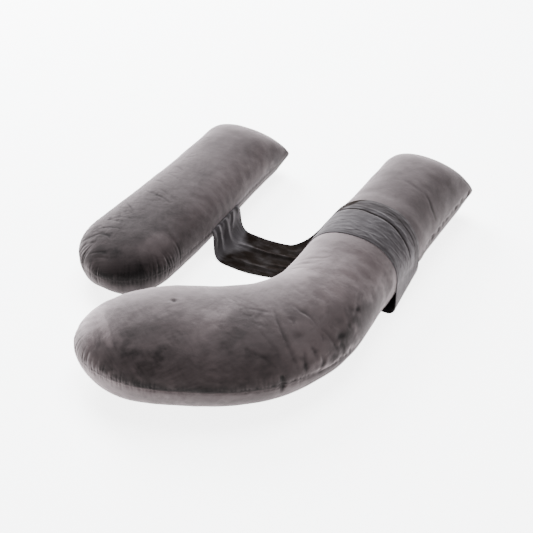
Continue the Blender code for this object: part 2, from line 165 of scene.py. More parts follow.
def flat_noise(first, second, seed, size=1.0, octaves=2):
    """Soft noise over two measures of each point."""
    return smooth_noise(np.stack([first, second, 0 * first], -1), size, seed, octaves)


def floored(points):
    """The points, with none under the floor."""
    points[..., 2] = np.maximum(points[..., 2], 0.0)
    return points


def meshed(name, points, faces):
    """A smooth mesh in the scene."""
    mesh = bpy.data.meshes.new(name)
    mesh.from_pydata(points, [], faces)
    mesh.validate()
    mesh.shade_smooth()
    thing = bpy.data.objects.new(name, mesh)
    bpy.context.scene.collection.objects.link(thing)
    return thing


# ---- pillow surface


def spine_of_main(along):
    """x, y and heading of the main pillow's spine at each place from the lobe's tip."""
    start = ARM_HEADING - BEND_ANGLE
    step = np.minimum(along, LOBE_STRAIGHT)
    heading = start + np.clip((along - LOBE_STRAIGHT) / BEND_RADIUS, 0.0, BEND_ANGLE)
    rest = np.maximum(along - LOBE_STRAIGHT - BEND_RADIUS * BEND_ANGLE, 0.0)
    x = LOBE_END[0] + step * cos(start) + BEND_RADIUS * (np.sin(heading) - sin(start))
    y = LOBE_END[1] + step * sin(start) - BEND_RADIUS * (np.cos(heading) - cos(start))
    return x + rest * np.cos(heading), y + rest * np.sin(heading), heading


def spine_of_side(along):
    """x, y and heading of the side pillow's spine, which bows a little, at each place from its round tip."""
    share = 2 * along / SIDE_LENGTH - 1
    bow, slope = SIDE_BOW * (1 - share**2), -4 * SIDE_BOW * share / SIDE_LENGTH
    x = SIDE_END[0] + along * cos(SIDE_HEADING) + bow * sin(SIDE_HEADING)
    y = SIDE_END[1] + along * sin(SIDE_HEADING) - bow * cos(SIDE_HEADING)
    return x, y, SIDE_HEADING - np.arctan(slope)


def outline(half, flat, base, middle, top, steps=160):
    """The section's line, from one edge of the flat base over the top to the other."""
    a = np.linspace(pi / 2, 0, steps + 1)
    out, down = np.cos(a) ** LOW_POWER, np.sin(a) ** LOW_POWER
    low = np.stack([flat + (half - flat) * out, middle - (middle - base) * down])
    a = np.linspace(0, pi / 2, steps + 1)[1:]
    out, up = np.clip(np.cos(a), 0.0, 1.0) ** SIDE_POWER, np.sin(a) ** TOP_POWER
    high = np.stack([half * out, middle + (top - middle) * up])
    line = np.hstack([low, high]).T
    return np.vstack([line, line[-2::-1] * (-1, 1)])


def graded(length, fine, fine_count, count):
    """Distances from 0 to length, close together near 0: fine_count steps over the fine stretch."""
    fine = min(fine, FINE_MOST * length)
    near = np.linspace(0, fine, fine_count + 1)
    return np.concatenate([near, np.linspace(fine, length, count - fine_count + 1)[1:]])


Grid = namedtuple("Grid", "cover_fine cover low_fine low base ring_step")
FINE, COARSE = Grid(11, 172, 7, 20, 6, 0.0040), Grid(2, 76, 2, 14, 6, 0.0070)
FINE_STRETCH, FINE_MOST = 0.012, 0.4  # points lie close this far from a seam, at most this share of the way


def levels_of(station):
    """Heights of a section's seams, on average, and of its widest place."""
    seam = (station.seam_out + station.seam_in) / 2
    return seam, max(seam, WIDEST_SHARE * station.height)


def ring(station, round_share, pinch_share, dent, grid):
    """One section's points as (across, height), starting at the outer seam and going over the top."""
    closing = np.sqrt(max(1 - pinch_share**PINCH_POWER, 0.0))
    swell = np.sqrt(1 - round_share**2) * closing
    sink = np.sqrt(1 - round_share**3) * closing
    half = station.width / 2 * np.sqrt(1 - round_share**2)
    seam, widest = levels_of(station)
    middle = seam + (widest - seam) * swell
    top = middle + (station.height - middle) * swell + END_THICKNESS / 2 * pinch_share
    base = max(dent, middle - (middle + SINK) * sink - END_THICKNESS / 2 * pinch_share)
    line = outline(half, half * FLAT_SHARE * max(sink, LEAST_FLAT), base, middle, top)
    run = run_of(line)
    rising = len(line) // 2 + 1
    outer = np.interp(middle + (station.seam_out - middle) * swell, line[:rising, 1], run[:rising])
    inner_low = np.interp(middle + (station.seam_in - middle) * swell, line[:rising, 1], run[:rising])
    inner = run[-1] - inner_low
    half_cover = graded((inner - outer) / 2, FINE_STRETCH, grid.cover_fine, grid.cover // 2)
    inner_side = graded(inner_low, FINE_STRETCH, grid.low_fine, grid.low)
    outer_side = graded(outer, FINE_STRETCH, grid.low_fine, grid.low)
    places = np.concatenate([outer + half_cover, (inner - half_cover)[-2::-1], inner + inner_side[1:]])
    across = np.linspace(0, 1, grid.base + 1)[1:, None]
    under = line[-1] + (line[0] - line[-1]) * across
    last = (outer - outer_side)[-2:0:-1]
    points = np.vstack([spots_on(line, run, places), under, spots_on(line, run, last)])
    shut = (1 - swell) * eased(pinch_share / SHUT_PLACE)
    tilt = (station.seam_out - station.seam_in) / 2 * shut
    rise = END_RISE * shut
    x, z = points.T
    return np.stack([x, np.maximum(dent, z + tilt * x / half + rise * (1 - np.square(x / half)))], 1)


# Place along a pillow, and how far apart its rings are there, as a share of the usual step: the arm's are far
# apart under the sleeve.
MAIN_SPREAD = [(0.2, 0.74), (0.62, 0.85), (0.85, 1), (0.9, 3), (1, 3), (1.06, 1.1), (1.4, 1.1)]
SIDE_SPREAD = [(0.1, 0.75), (0.4, 0.8), (0.82, 0.85)]
CAP_DENSITY, PINCH_DENSITY = 2.25, 1.3  # rings at the round end and the sewn-off one, over the usual number
CAP_FIRST = 0.35  # the first ring's place between the tip and the second ring
SPREAD_PLACES = 1001  # at which the spread is looked up
Shape = namedtuple("Shape", "spine length round_reach stations spread dented")
MAIN = Shape(spine_of_main, MAIN_LENGTH, LOBE_ROUND, MAIN_STATIONS, MAIN_SPREAD, True)
SIDE = Shape(spine_of_side, SIDE_LENGTH, SIDE_ROUND, SIDE_STATIONS, SIDE_SPREAD, False)


def places_along(shape, grid):
    """Places of the rings: close together at the round tip and at the sewn-off end."""
    cap_count = int(CAP_DENSITY * shape.round_reach / grid.ring_step)
    quarter = pi / 2 * (np.arange(cap_count) + CAP_FIRST) / (cap_count + CAP_FIRST)
    cap = shape.round_reach * (1 - np.cos(quarter))
    pinch_count = int(PINCH_DENSITY * PINCH / grid.ring_step)
    pinch = shape.length - PINCH * (1 - np.sin(pi / 2 * np.arange(pinch_count) / (pinch_count - 1)))
    fine = np.linspace(shape.round_reach, pinch[0], SPREAD_PLACES)
    steps = looked_up(shape.spread, fine) * grid.ring_step
    run = np.concatenate([[0.0], np.cumsum((fine[1] - fine[0]) / steps[1:])])
    body = np.interp(np.arange(round(run[-1])) / round(run[-1]) * run[-1], run, fine)
    return np.concatenate([cap, body, pinch])


def surface(shape, grid):
    """The pillow's smooth surface as an array of points: rings along the spine, places round each."""
    along = places_along(shape, grid)
    x, y, heading = shape.spine(along)
    rows = between(shape.stations, along)
    round_share = np.maximum(1 - along / shape.round_reach, 0.0)
    pinch_share = np.maximum(1 - (shape.length - along) / PINCH, 0.0)
    dent = BELT_DENT * within(y, DENT_FRONT, DENT_REAR, DENT_RAMP) * shape.dented
    rings = []
    corner = np.maximum(END_CORNER - (shape.length - along), 0.0)
    inset = END_CORNER - np.sqrt(END_CORNER**2 - corner**2)
    for i, row in enumerate(rows):
        across, height = ring(Station(*row), round_share[i], pinch_share[i], dent[i], grid).T
        across = across * (1 - 2 * inset[i] / row[1])
        skew = END_SKEW * eased(pinch_share[i])
        out_x = sin(heading[i]) + skew * cos(heading[i])
        out_y = skew * sin(heading[i]) - cos(heading[i])
        rings.append(np.stack([x[i] + across * out_x, y[i] + across * out_y, height], 1))
    return along, np.array(rings)


def normals_of(points):
    """Outward normals of a grid of points whose second direction closes on itself."""
    ahead = np.gradient(points, axis=0)
    round_about = np.roll(points, -1, axis=1) - np.roll(points, 1, axis=1)
    return unit(np.cross(ahead, round_about))


def tip_of(shape):
    """The point where the round end's rings close."""
    x, y, _ = shape.spine(np.zeros(1))
    return np.array([x[0], y[0], levels_of(shape.stations[0])[0]])


def skin(name, points, tip):
    """A closed mesh over the rings, with a fan at the tip and one face at the sewn-off end."""
    rings, count = points.shape[:2]
    index = np.arange(rings * count).reshape(rings, count)
    after = np.roll(index, -1, axis=1)
    quads = np.stack([index[:-1], index[1:], after[1:], after[:-1]], 2).reshape(-1, 4)
    fan = [(rings * count, *pair) for pair in zip(index[0].tolist(), after[0].tolist())]
    faces = quads.tolist() + fan + [index[-1][::-1].tolist()]
    return meshed(name, np.vstack([points.reshape(-1, 3), tip]), faces)


# ---- how a point lies on the pillow

# along: spine distance of its ring. over: distance from the outer seam over the cover, under 0 below that
# seam. seam_run: place along the nearest seam, 0 at the tip, under 0 on the outer side. seam_gap: distance
# from that seam, under 0 below it. lower: 1 on the panels below the seam.
Place = namedtuple("Place", "along over seam_run seam_gap lower")
SEAM_STEP = 0.001  # between the seam's points that are searched


def places_on(points, along, grid, tip):
    """Where each point of a pillow's surface lies."""
    count = points.shape[1]
    forward = run_of(points)
    whole = forward[:, -1:] + np.linalg.norm(points[:, :1] - points[:, -1:], axis=2)
    on_outer_panel = np.arange(count) > grid.cover + grid.low + grid.base // 2
    over = np.where(on_outer_panel[None], forward - whole, forward)
    line = np.vstack([points[::-1, 0], tip, points[:, grid.cover]])
    run = run_of(line)
    run = run - run[len(points)]
    fine_run = np.arange(run[0], run[-1], SEAM_STEP)
    fine = spots_on(line, run, fine_run)
    tangent = unit(np.gradient(fine, axis=0))
    tree = kdtree.KDTree(len(fine))
    for i, point in enumerate(fine):
        tree.insert(point, i)
    tree.balance()
    flat = points.reshape(-1, 3)
    nearest = np.array([tree.find(point)[1] for point in flat])
    offset, tangent = flat - fine[nearest], tangent[nearest]
    slide = (offset * tangent).sum(1)
    gap = np.linalg.norm(offset - slide[:, None] * tangent, axis=1)
    shaped = points.shape[:2]
    lower = np.broadcast_to(np.arange(count) > grid.cover, shaped).astype(float)
    seam_run, seam_gap = (fine_run[nearest] + slide).reshape(shaped), gap.reshape(shaped) * (1 - 2 * lower)
    return Place(np.broadcast_to(along[:, None], shaped), over, seam_run, seam_gap, lower)


# ---- cloth simulation

FILL_FRAMES = 20
SPARE_CLOTH = 0.030  # the cover is cut this much larger than the filling
CLOTH_SETTINGS = {
    "quality": 6, "mass": 0.25, "tension_stiffness": 14, "compression_stiffness": 14, "shear_stiffness": 6,
    "bending_stiffness": 0.35, "vertex_group_mass": "pins", "shrink_min": -SPARE_CLOTH, "use_pressure": True,
    "uniform_pressure_force": 4,
}
SWELL_CAP = 0.020  # no point moves further than this
WRINKLE_SHARE = 0.14  # of the simulated wrinkles' depth
BROAD_PASSES, REFINED_PASSES = 24, 4  # of smoothing: what is left after the first is no wrinkle


def blurred(values, passes):
    """A grid of values, smoothed along both directions. The second one closes on itself."""
    for _ in range(passes):
        values = (np.roll(values, 1, axis=1) + 2 * values + np.roll(values, -1, axis=1)) / 4
        middle = (values[:-2] + 2 * values[1:-1] + values[2:]) / 4
        values = np.concatenate([values[:1], middle, values[-1:]])
    return values


def simulated_wrinkles(shape):
    """Heights of the wrinkles that form when a coarse pillow's roomy cover is filled, by cloth simulation."""
    scene = bpy.context.scene
    along, points = surface(shape, COARSE)
    thing = skin("filling", points, tip_of(shape))
    held = np.zeros(points.shape[:2], dtype=bool)
    held[:, 0] = held[:, COARSE.cover] = True
    held[:, COARSE.cover + COARSE.low : COARSE.cover + COARSE.low + COARSE.base + 1] = True
    held[-1] = True
    pins = thing.vertex_groups.new(name="pins")
    pins.add(np.flatnonzero(held).tolist() + [held.size], 1.0, "REPLACE")
    cloth = thing.modifiers.new("cloth", "CLOTH").settings
    for setting, value in CLOTH_SETTINGS.items():
        setattr(cloth, setting, value)
    cloth.effector_weights.gravity = 0
    for step in range(1, FILL_FRAMES + 1):
        scene.frame_set(step)
    filled = thing.evaluated_get(bpy.context.evaluated_depsgraph_get()).data
    flat = np.empty(len(filled.vertices) * 3)
    filled.vertices.foreach_get("co", flat)
    moved = flat.reshape(-1, 3)[:-1].reshape(points.shape) - points
    bpy.data.objects.remove(thing)
    scene.frame_set(1)
    size = np.linalg.norm(moved, axis=2, keepdims=True)
    moved *= np.minimum(1.0, SWELL_CAP / np.maximum(size, 1e-9))
    height = (moved * normals_of(points)).sum(2)
    return (height - blurred(height, BROAD_PASSES)) * WRINKLE_SHARE, along, points


def turn_of(points, grid):
    """How far round its ring each point lies: 0 to 1 over the cover, 1 to 4 below it and back."""
    run = run_of(np.concatenate([points, points[:, :1]], axis=1))
    corners = np.cumsum([0, grid.cover, grid.low, grid.base, grid.low])
    return np.array([np.interp(row[:-1], row[corners], np.arange(5)) for row in run])


def refined(values, along, points, fine_along, fine_points):
    """Values on the coarse pillow's points, carried over to the fine one's and smoothed."""
    turn = spots_on(turn_of(points, COARSE), along, fine_along)
    spread = spots_on(values, along, fine_along)
    out = np.empty(fine_points.shape[:2])
    for i, row in enumerate(turn_of(fine_points, FINE)):
        out[i] = np.interp(row, np.append(turn[i], 4.0), np.append(spread[i], spread[i, 0]))
    return blurred(out, REFINED_PASSES)


# ---- seam, gathers and creases

GROOVE_DEPTH, GROOVE_WIDTH, GROOVE_POWER = 0.0006, 0.0014, 1.3
PUFF_HEIGHT, PUFF_GAP, PUFF_WIDTH = 0.0002, 0.0120, 0.0072  # the cover is puffed up this far from the seam

# Gathers along a stretch of side seam: their spacing, their reach above and below the seam, and their depth.
Gathers = namedtuple("Gathers", "start end spacing above below depth")
MAIN_GATHERS = rows_in_mm(Gathers, [
    (-1600, -1100, 30, 22, 20, 5.5), (-1100, -860, 17, 20, 16, 2), (-860, -740, 14, 34, 20, 3),
    (-740, -620, 14, 34, 22, 3.4), (-620, -520, 9, 50, 20, 2.6), (-520, -460, 9, 50, 20, 1.6),
    (-460, -300, 10, 30, 20, 1.2), (-310, -140, 7.2, 55, 34, 2.2), (-140, 20, 7.8, 66, 34, 2.8),
    (20, 300, 10, 70, 34, 2.6), (300, 620, 15, 35, 25, 1.8), (620, 1600, 18, 22, 16, 1.4),
])
SIDE_GATHERS = rows_in_mm(Gathers, [
    (-950, -280, 18, 18, 14, 1.2), (-280, -80, 8, 75, 45, 3.2), (-80, 60, 8.5, 40, 50, 2.2),
    (60, 260, 11, 85, 45, 5), (260, 950, 17, 25, 16, 1.6),
])

GATHER_VARIES = (0.45, 1.25)  # shares of their depth and reach
GATHER_WIDTHS, GATHER_STEPS = (0.22, 0.34), (0.65, 1.35)  # shares of their spacing
GATHER_SLANT, GATHER_FLARE = 0.22, 6.0  # most slant, and the share they widen by for each metre from the seam
GATHER_LIMIT = 0.12  # none reaches further
AT_SEAM, SEAM_EASE = 0.35, 0.005  # share of their depth in the seam itself, and how far from it they are full

# A crease: its points as (along, over) pairs, its width and depth.
Crease = namedtuple("Crease", "points width depth")
MAIN_CREASES = rows_in_mm(Crease, [
    (((470, 34), (470, -26)), 2.4, 8.5),
    (((466, 45), (456, 66), (445, 85), (430, 101), (410, 118)), 4, 1.3),
    (((502, 20), (498, 74), (498, 124), (502, 177), (510, 215)), 4.5, 2.2),
    (((472, 60), (474, 95), (462, 135), (455, 165)), 4.5, 1.2),
    (((574, 111), (574, 144), (566, 174), (560, 205)), 3.5, 1.9),
    (((574, 111), (582, 90), (586, 60), (590, 26)), 4, 2), (((538, 82), (542, 61), (543, 44)), 3.5, 2.2),
    (((568, 102), (571, 87), (566, 72)), 3, 1.7), (((516, 6), (516, 40), (524, 75)), 4, 2.3),
    (((548, 6), (555, 30), (552, 50)), 4, 2.4), (((604, 8), (604, 32), (598, 50)), 4, 2.2),
    (((442, 250), (478, 227), (502, 205)), 5, 1), (((530, 175), (536, 158), (528, 146)), 4.5, 1.6),
    (((740, 325), (750, 285), (758, 255), (774, 235)), 4, 1.2),
    (((716, 335), (724, 295), (736, 255)), 4.5, 1), (((690, 335), (700, 300), (704, 270)), 4.5, 0.9),
    (((1186, 200), (1174, 154), (1170, 125)), 5, 0.8),
    (((1176, 126), (1166, 100), (1153, 80), (1145, 40)), 4.2, 1.3),
    (((1366, 18), (1362, 0), (1360, -16)), 6, 5),
])
SIDE_CREASES = rows_in_mm(Crease, [
    (((332, 265), (316, 241), (314, 205), (310, 176), (298, 149)), 3.6, 1),
    (((345, 225), (338, 200), (330, 180)), 3, 0.7), (((545, 268), (530, 244), (546, 219)), 3.5, 1),
    (((660, 264), (656, 236)), 3.2, 0.9), (((252, 275), (240, 255), (216, 220)), 3.2, 1.3),
    (((478, 268), (470, 235), (452, 205)), 3.8, 0.9), (((392, 282), (384, 262), (380, 232)), 3.2, 0.9),
    (((106, 265), (112, 242), (126, 222), (128, 204)), 4, 1.2),
    (((66, 252), (76, 235), (94, 219), (94, 189), (84, 170)), 4.2, 1.5),
    (((46, 232), (62, 206), (60, 186)), 3.6, 1.3), (((90, 262), (106, 236), (112, 214)), 3.2, 0.9),
    (((30, 150), (46, 132), (42, 112)), 4.4, 1.4), (((24, 118), (36, 100), (30, 80)), 4, 1.2),
    (((150, 262), (168, 244), (178, 226)), 3.4, 0.9),
])

TAPER_POWER = 0.6  # how soon a crease is full from its ends
Dimple = namedtuple("Dimple", "along over radius depth")
MAIN_DIMPLES = rows_in_mm(Dimple, [
    (258, 275, 7.5, 2.8), (606, 65, 9, 2), (674, 87, 8, 2), (660, 100, 9, 1.4), (526, 114, 11, 1.3),
    (622, 96, 10, 1),
])
SIDE_DIMPLES = rows_in_mm(Dimple, [(474, 150, 14, 0.4)])

# A stretch of fine crinkles: its middle, its radii along and round the pillow, their size and depth.
Crinkles = namedtuple("Crinkles", "along over long wide size depth")
MAIN_CRINKLES = rows_in_mm(Crinkles, [
    (430, 200, 90, 80, 24, 0.8), (590, 110, 80, 90, 22, 0.8), (740, 290, 60, 60, 20, 0.6),
    (110, 70, 70, 50, 18, 0.5),
])
SIDE_CRINKLES = rows_in_mm(Crinkles, [
    (360, 235, 110, 50, 20, 0.9), (560, 265, 80, 35, 18, 0.8), (150, 235, 100, 45, 20, 0.9),
    (700, 280, 50, 35, 18, 0.6),
])
CRINKLE_WIDTH, CRINKLE_STRETCH = 0.16, 2.2  # share of their size, and how drawn out they are round the pillow
CRINKLE_GAPS, CRINKLE_POWER = 1.6, 0.7  # size of their breaks, and how soon they are full from the edges
CRINKLE_MIDDLE, CRINKLE_CONTRAST = 0.6, 1.5  # of how they are broken up
CRINKLE_LEAST = 0.02  # where a stretch is weaker than this, it has none


def gather_depth(place, rows, seed):
    """How deep the gathers are at each point."""
    chance = np.random.RandomState(seed)
    depth = np.zeros_like(place.seam_run)
    near = np.abs(place.seam_gap) < GATHER_LIMIT
    run, gap, under = place.seam_run[near], np.abs(place.seam_gap[near]), place.lower[near]
    full = AT_SEAM + (1 - AT_SEAM) * eased(gap / SEAM_EASE)
    total = np.zeros_like(run)
    for row in rows:
        where = row.start
        while where < row.end:
            strength = row.depth * chance.uniform(*GATHER_VARIES)
            reach = np.where(under > 0.5, row.below, row.above) * chance.uniform(*GATHER_VARIES)
            slant = chance.uniform(-GATHER_SLANT, GATHER_SLANT)
            width = row.spacing * chance.uniform(*GATHER_WIDTHS) * (1 + GATHER_FLARE * gap)
            fade = np.square(1 - np.clip(gap / reach, 0.0, 1.0)) * full
            total += strength * fade * bell((run - where - slant * gap) / width)
            where += row.spacing * chance.uniform(*GATHER_STEPS)
    depth[near] = total
    return depth


def crease_depth(place, rows):
    """How deep the creases are at each point."""
    depth = np.zeros_like(place.along)
    for row in rows:
        points, run = row.points, run_of(row.points)
        best = np.full(depth.shape, np.inf)
        share = np.zeros_like(depth)
        for (a, b), start in zip(zip(points, points[1:]), run):
            length = hypot(*(b - a))
            toward = (b - a) / length
            t = (place.along - a[0]) * toward[0] + (place.over - a[1]) * toward[1]
            t = np.clip(t, 0.0, length)
            gap = np.hypot(place.along - a[0] - t * toward[0], place.over - a[1] - t * toward[1])
            share = np.where(gap < best, (start + t) / run[-1], share)
            best = np.minimum(gap, best)
        taper = np.sin(pi * np.clip(share, 0.0, 1.0)) ** TAPER_POWER
        depth += row.depth * taper * bell(best / (row.width * (1 + taper) / 2))
    return depth


def dimple_depth(place, rows):
    """How deep the dimples are at each point."""
    depth = np.zeros_like(place.along)
    for row in rows:
        gap = np.hypot(place.along - row.along, place.over - row.over)
        depth += row.depth * bell(gap / row.radius)
    return depth


def crinkle_depth(place, rows, seed):
    """How deep the fine crinkles are at each point: thin broken lines, mostly round the pillow."""
    depth = np.zeros_like(place.along)
    for i, row in enumerate(rows):
        inside = bell((place.along - row.along) / row.long) * bell((place.over - row.over) / row.wide)
        near = inside * (1 - place.lower) > CRINKLE_LEAST
        along, over = place.along[near] / row.size, place.over[near] / row.size / CRINKLE_STRETCH
        lines = flat_noise(along, over, seed + 30 + i, octaves=3)
        broken = flat_noise(along, over, seed + 50 + i, CRINKLE_GAPS)
        broken = eased(CRINKLE_MIDDLE + CRINKLE_CONTRAST * broken)
        depth[near] += row.depth * (inside[near] * broken) ** CRINKLE_POWER * bell(lines / CRINKLE_WIDTH)
    return depth


# Place along a pillow, and the velvet's tone there before its brushed patches, or how strong its wisps are.
MAIN_NAP = [
    (0, 0.64), (0.12, 0.59), (0.2, 0.57), (0.36, 0.5), (0.45, 0.41), (0.52, 0.49), (0.66, 0.68),
    (0.8, 0.74), (1.06, 0.38), (1.25, 0.34), (1.4, 0.41),
]
MAIN_WISPY = [(0, 1), (0.3, 1), (0.45, 0.6), (0.62, 0.2), (1.4, 0.12)]
SIDE_WISPY = [(0, 0.5), (0.5, 0.4), (0.65, 0.2), (0.82, 0.2)]
SIDE_NAP = [(0, 0.34), (0.1, 0.25), (0.2, 0.16), (0.38, 0.3), (0.55, 0.35), (0.65, 0.25), (0.82, 0.4)]

# Distance over the cover, and how much lighter the velvet is there.
MAIN_OVER = [(0, -0.28), (0.05, -0.25), (0.1, -0.13), (0.16, -0.02), (0.22, 0)]
ARM_START, SIDE_START, OVER_EASE = 0.54, -1.0, 0.15  # it starts from these places, over this length
SIDE_OVER = [
    (0, -0.16), (0.03, 0.02), (0.07, 0.18), (0.13, 0.03), (0.2, -0.04), (0.26, 0.02), (0.36, 0.04),
]

# Place along a pillow, the change in tone of the lower panels at the seam and low down, and how much darker
# the cover is just above the seam. The lower panels' nap runs the other way. Their darkening is painted shade
# on the pillow's underside, and the darkening just above the seam is painted shade too.
MAIN_PANEL = [
    (0, -0.02, -0.34, 0.26), (0.1, -0.04, -0.44, 0.3), (0.22, -0.08, -0.62, 0.44),
    (0.42, -0.12, -0.58, 0.28), (0.5, -0.12, -0.56, 0.18), (0.57, -0.55, -0.8, 0.12),
    (0.84, -0.6, -0.8, 0.06), (1.05, -0.7, -0.8, -0.04), (1.4, -0.7, -0.8, -0.04),
]
SIDE_PANEL = [
    (0, -0.16, -0.4, 0.1), (0.12, -0.16, -0.4, 0.06), (0.24, -0.3, -0.6, 0.02),
    (0.4, -0.4, -0.66, 0.04), (0.82, -0.46, -0.75, 0.04),
]

# A brushed patch: its middle, its radii along and round the pillow, its turn, how soft its edge is and its
# lightness.
Patch = namedtuple("Patch", "along over long wide turn edge tone")
MAIN_PATCHES = rows_of(Patch, [
    (0.3, 0.045, 0.2, 0.06, 0, 0.8, -0.18), (0.15, 0.06, 0.09, 0.06, 0, 0.9, -0.15),
    (0.05, 0.15, 0.036, 0.085, 0, 0.7, 0.36), (0.09, 0.13, 0.052, 0.015, -1.2, 0.4, 0.32),
    (0.07, 0.098, 0.036, 0.01, -1.37, 0.4, -0.22), (0.165, 0.18, 0.065, 0.08, 0.2, 0.28, -0.11),
    (0.21, 0.13, 0.1, 0.06, 0, 0.8, -0.1), (0.25, 0.215, 0.05, 0.02, 0.2, 0.5, -0.12),
    (0.355, 0.195, 0.1, 0.022, 1.03, 0.8, 0.14), (0.43, 0.21, 0.045, 0.032, 0.3, 0.7, -0.16),
    (0.4, 0.15, 0.05, 0.022, 0.9, 0.6, -0.14), (0.545, 0.19, 0.022, 0.05, 0.4, 0.6, -0.14),
    (0.54, 0.09, 0.05, 0.07, 0, 0.7, 0.14), (0.562, 0.018, 0.03, 0.014, 0, 0.6, -0.2),
    (0.505, 0.07, 0.035, 0.03, 0.3, 0.7, 0.12), (0.37, 0.065, 0.04, 0.03, 0, 0.7, 0.1),
    (0.51, 0.01, 0.06, 0.02, 0, 0.7, -0.12), (0.655, 0.275, 0.05, 0.05, 0, 0.8, 0.24),
    (0.71, 0.26, 0.06, 0.06, 0.2, 0.8, 0.18), (0.72, 0.04, 0.16, 0.055, 0, 0.9, -0.38),
    (0.72, 0.17, 0.1, 0.035, 0.1, 0.9, 0.2), (0.8, 0.12, 0.08, 0.07, 0, 0.9, 0.06),
    (1.16, 0.21, 0.06, 0.05, 0.3, 0.9, -0.06), (1.29, 0.15, 0.07, 0.07, 0, 0.9, 0.05),
])
SIDE_PATCHES = rows_of(Patch, [
    (0.032, 0.05, 0.06, 0.06, 0.6, 0.7, -0.2), (0.034, 0.135, 0.034, 0.045, 0.3, 0.8, -0.14),
    (0.08, 0.27, 0.03, 0.04, 0, 0.7, -0.12), (0.15, 0.07, 0.06, 0.035, 0, 0.9, 0.24),
    (0.44, 0.08, 0.2, 0.04, 0, 0.9, 0.1), (0.48, 0.16, 0.05, 0.04, 0.3, 0.9, -0.06),
    (0.65, 0.05, 0.06, 0.04, 0, 0.8, 0.1), (0.77, 0.03, 0.07, 0.05, 0, 0.7, -0.2),
    (0.72, 0.2, 0.07, 0.07, 0, 0.9, 0.1),
])
Looks = namedtuple("Looks", "gathers creases dimples crinkles nap over over_start panel patches wispy seed")
MAIN_LOOKS = Looks(
    MAIN_GATHERS, MAIN_CREASES, MAIN_DIMPLES, MAIN_CRINKLES, MAIN_NAP, MAIN_OVER, ARM_START, MAIN_PANEL,
    MAIN_PATCHES, MAIN_WISPY, seed=3,
)
SIDE_LOOKS = Looks(
    SIDE_GATHERS, SIDE_CREASES, SIDE_DIMPLES, SIDE_CRINKLES, SIDE_NAP, SIDE_OVER, SIDE_START, SIDE_PANEL,
    SIDE_PATCHES, SIDE_WISPY, seed=8,
)
TUCK_PAINTED_SHADE, CREASE_PAINTED_SHADE, DIMPLE_PAINTED_SHADE = 85.0, 110.0, 190.0  # painted shade in the gathers, crinkles, creases and dimples: tone lost for each metre of their depths
PANEL_FADE, ABOVE_FADE = 0.050, 0.022  # how far from the seam the lower panels' tone and the painted shade above the seam fade
RAGGED, RAGGED_SIZE, RAGGED_LEAST = 0.50, 0.040, 0.3  # how uneven the patches' edges are
EDGE_SHIFT = 0.4  # how far into its soft edge a patch's outline lies
WISP_LONG, WISP_WIDE, WISP_TONE = 0.036, 0.0090, 0.11  # size and strength of the brushed wisps
WISP_TURNS, WISP_PATCH = (0.2, -0.5, 0.9), 0.070  # their directions, and the size of where each shows
WISP_MIDDLE, WISP_CONTRAST = 0.5, 1.2  # of the patches in which each direction shows
SEAM_PAINTED_SHADE, SEAM_SHADE = 0.12, 0.0014  # painted shade along the seam's groove: its line is darker by this much, this far to each side


def wisps(place, points, seed):
    """Thin brushed wisps between about -1 and 1. Each of their directions shows in patches of its own."""
    total = np.zeros(place.along.shape)
    for i, turn in enumerate(WISP_TURNS):
        across = place.over * cos(turn) + place.along * sin(turn)
        ahead = place.along * cos(turn) - place.over * sin(turn)
        patchy = eased(WISP_MIDDLE + WISP_CONTRAST * smooth_noise(points, WISP_PATCH, seed + 20 + i))
        total += patchy * flat_noise(ahead / WISP_LONG, across / WISP_WIDE, seed + 12 + i)
    return total


def patch_tone(place, points, looks):
    """Lightness of the velvet at each point, from its nap and its brushed patches with uneven edges, with
    painted shade on the lower panels, just above the seam and along the seam's line.
    """
    ragged = RAGGED * smooth_noise(points, RAGGED_SIZE, looks.seed + 5, octaves=3)
    tone = looked_up(looks.nap, place.along)
    started = eased((place.along - looks.over_start) / OVER_EASE)
    tone += looked_up(looks.over, place.over) * (1 - place.lower) * started
    at_seam, painted_shade_low_down, above = (looked_up(looks.panel, place.along, column) for column in (1, 2, 3))
    near = np.exp(-np.abs(place.seam_gap) / np.where(place.lower > 0.5, PANEL_FADE, ABOVE_FADE))
    # The lower panels' darkening is painted shade on the underside, and the darkening just above the seam is
    # painted shade.
    tone += np.where(place.lower > 0.5, painted_shade_low_down + (at_seam - painted_shade_low_down) * near, -above * near)
    tone += looked_up(looks.wispy, place.along) * WISP_TONE * wisps(place, points, looks.seed)
    for patch in looks.patches:
        ahead, across = place.along - patch.along, place.over - patch.over
        long = (ahead * cos(patch.turn) + across * sin(patch.turn)) / patch.long
        wide = (across * cos(patch.turn) - ahead * sin(patch.turn)) / patch.wide
        inward = 1.0 - np.hypot(long, wide) + ragged * (RAGGED_LEAST + patch.edge)
        inside = eased(inward / patch.edge + EDGE_SHIFT)
        tone += patch.tone * inside * (1 - place.lower)
    # The seam's darker line is painted shade in its groove.
    return tone - SEAM_PAINTED_SHADE * bell(place.seam_gap / SEAM_SHADE)


def seam_depth(place):
    """How far the side seam is drawn in, with the cover puffed up beside it."""
    gap = np.abs(place.seam_gap)
    groove = GROOVE_DEPTH * np.exp(-np.power(gap / GROOVE_WIDTH, GROOVE_POWER))
    return groove - PUFF_HEIGHT * bell((gap - PUFF_GAP) / PUFF_WIDTH)


# ---- pillows


TIP_TONE = 0.5  # of the one point that is in no ring


def set_tone(thing, tone):
    """Keeps each point's lightness, 0 to 1, where the material reads it."""
    values = thing.data.attributes.new("tone", "FLOAT", "POINT")
    filled = np.full(len(thing.data.vertices), TIP_TONE)
    filled[: tone.size] = tone.ravel()
    values.data.foreach_set("value", filled)


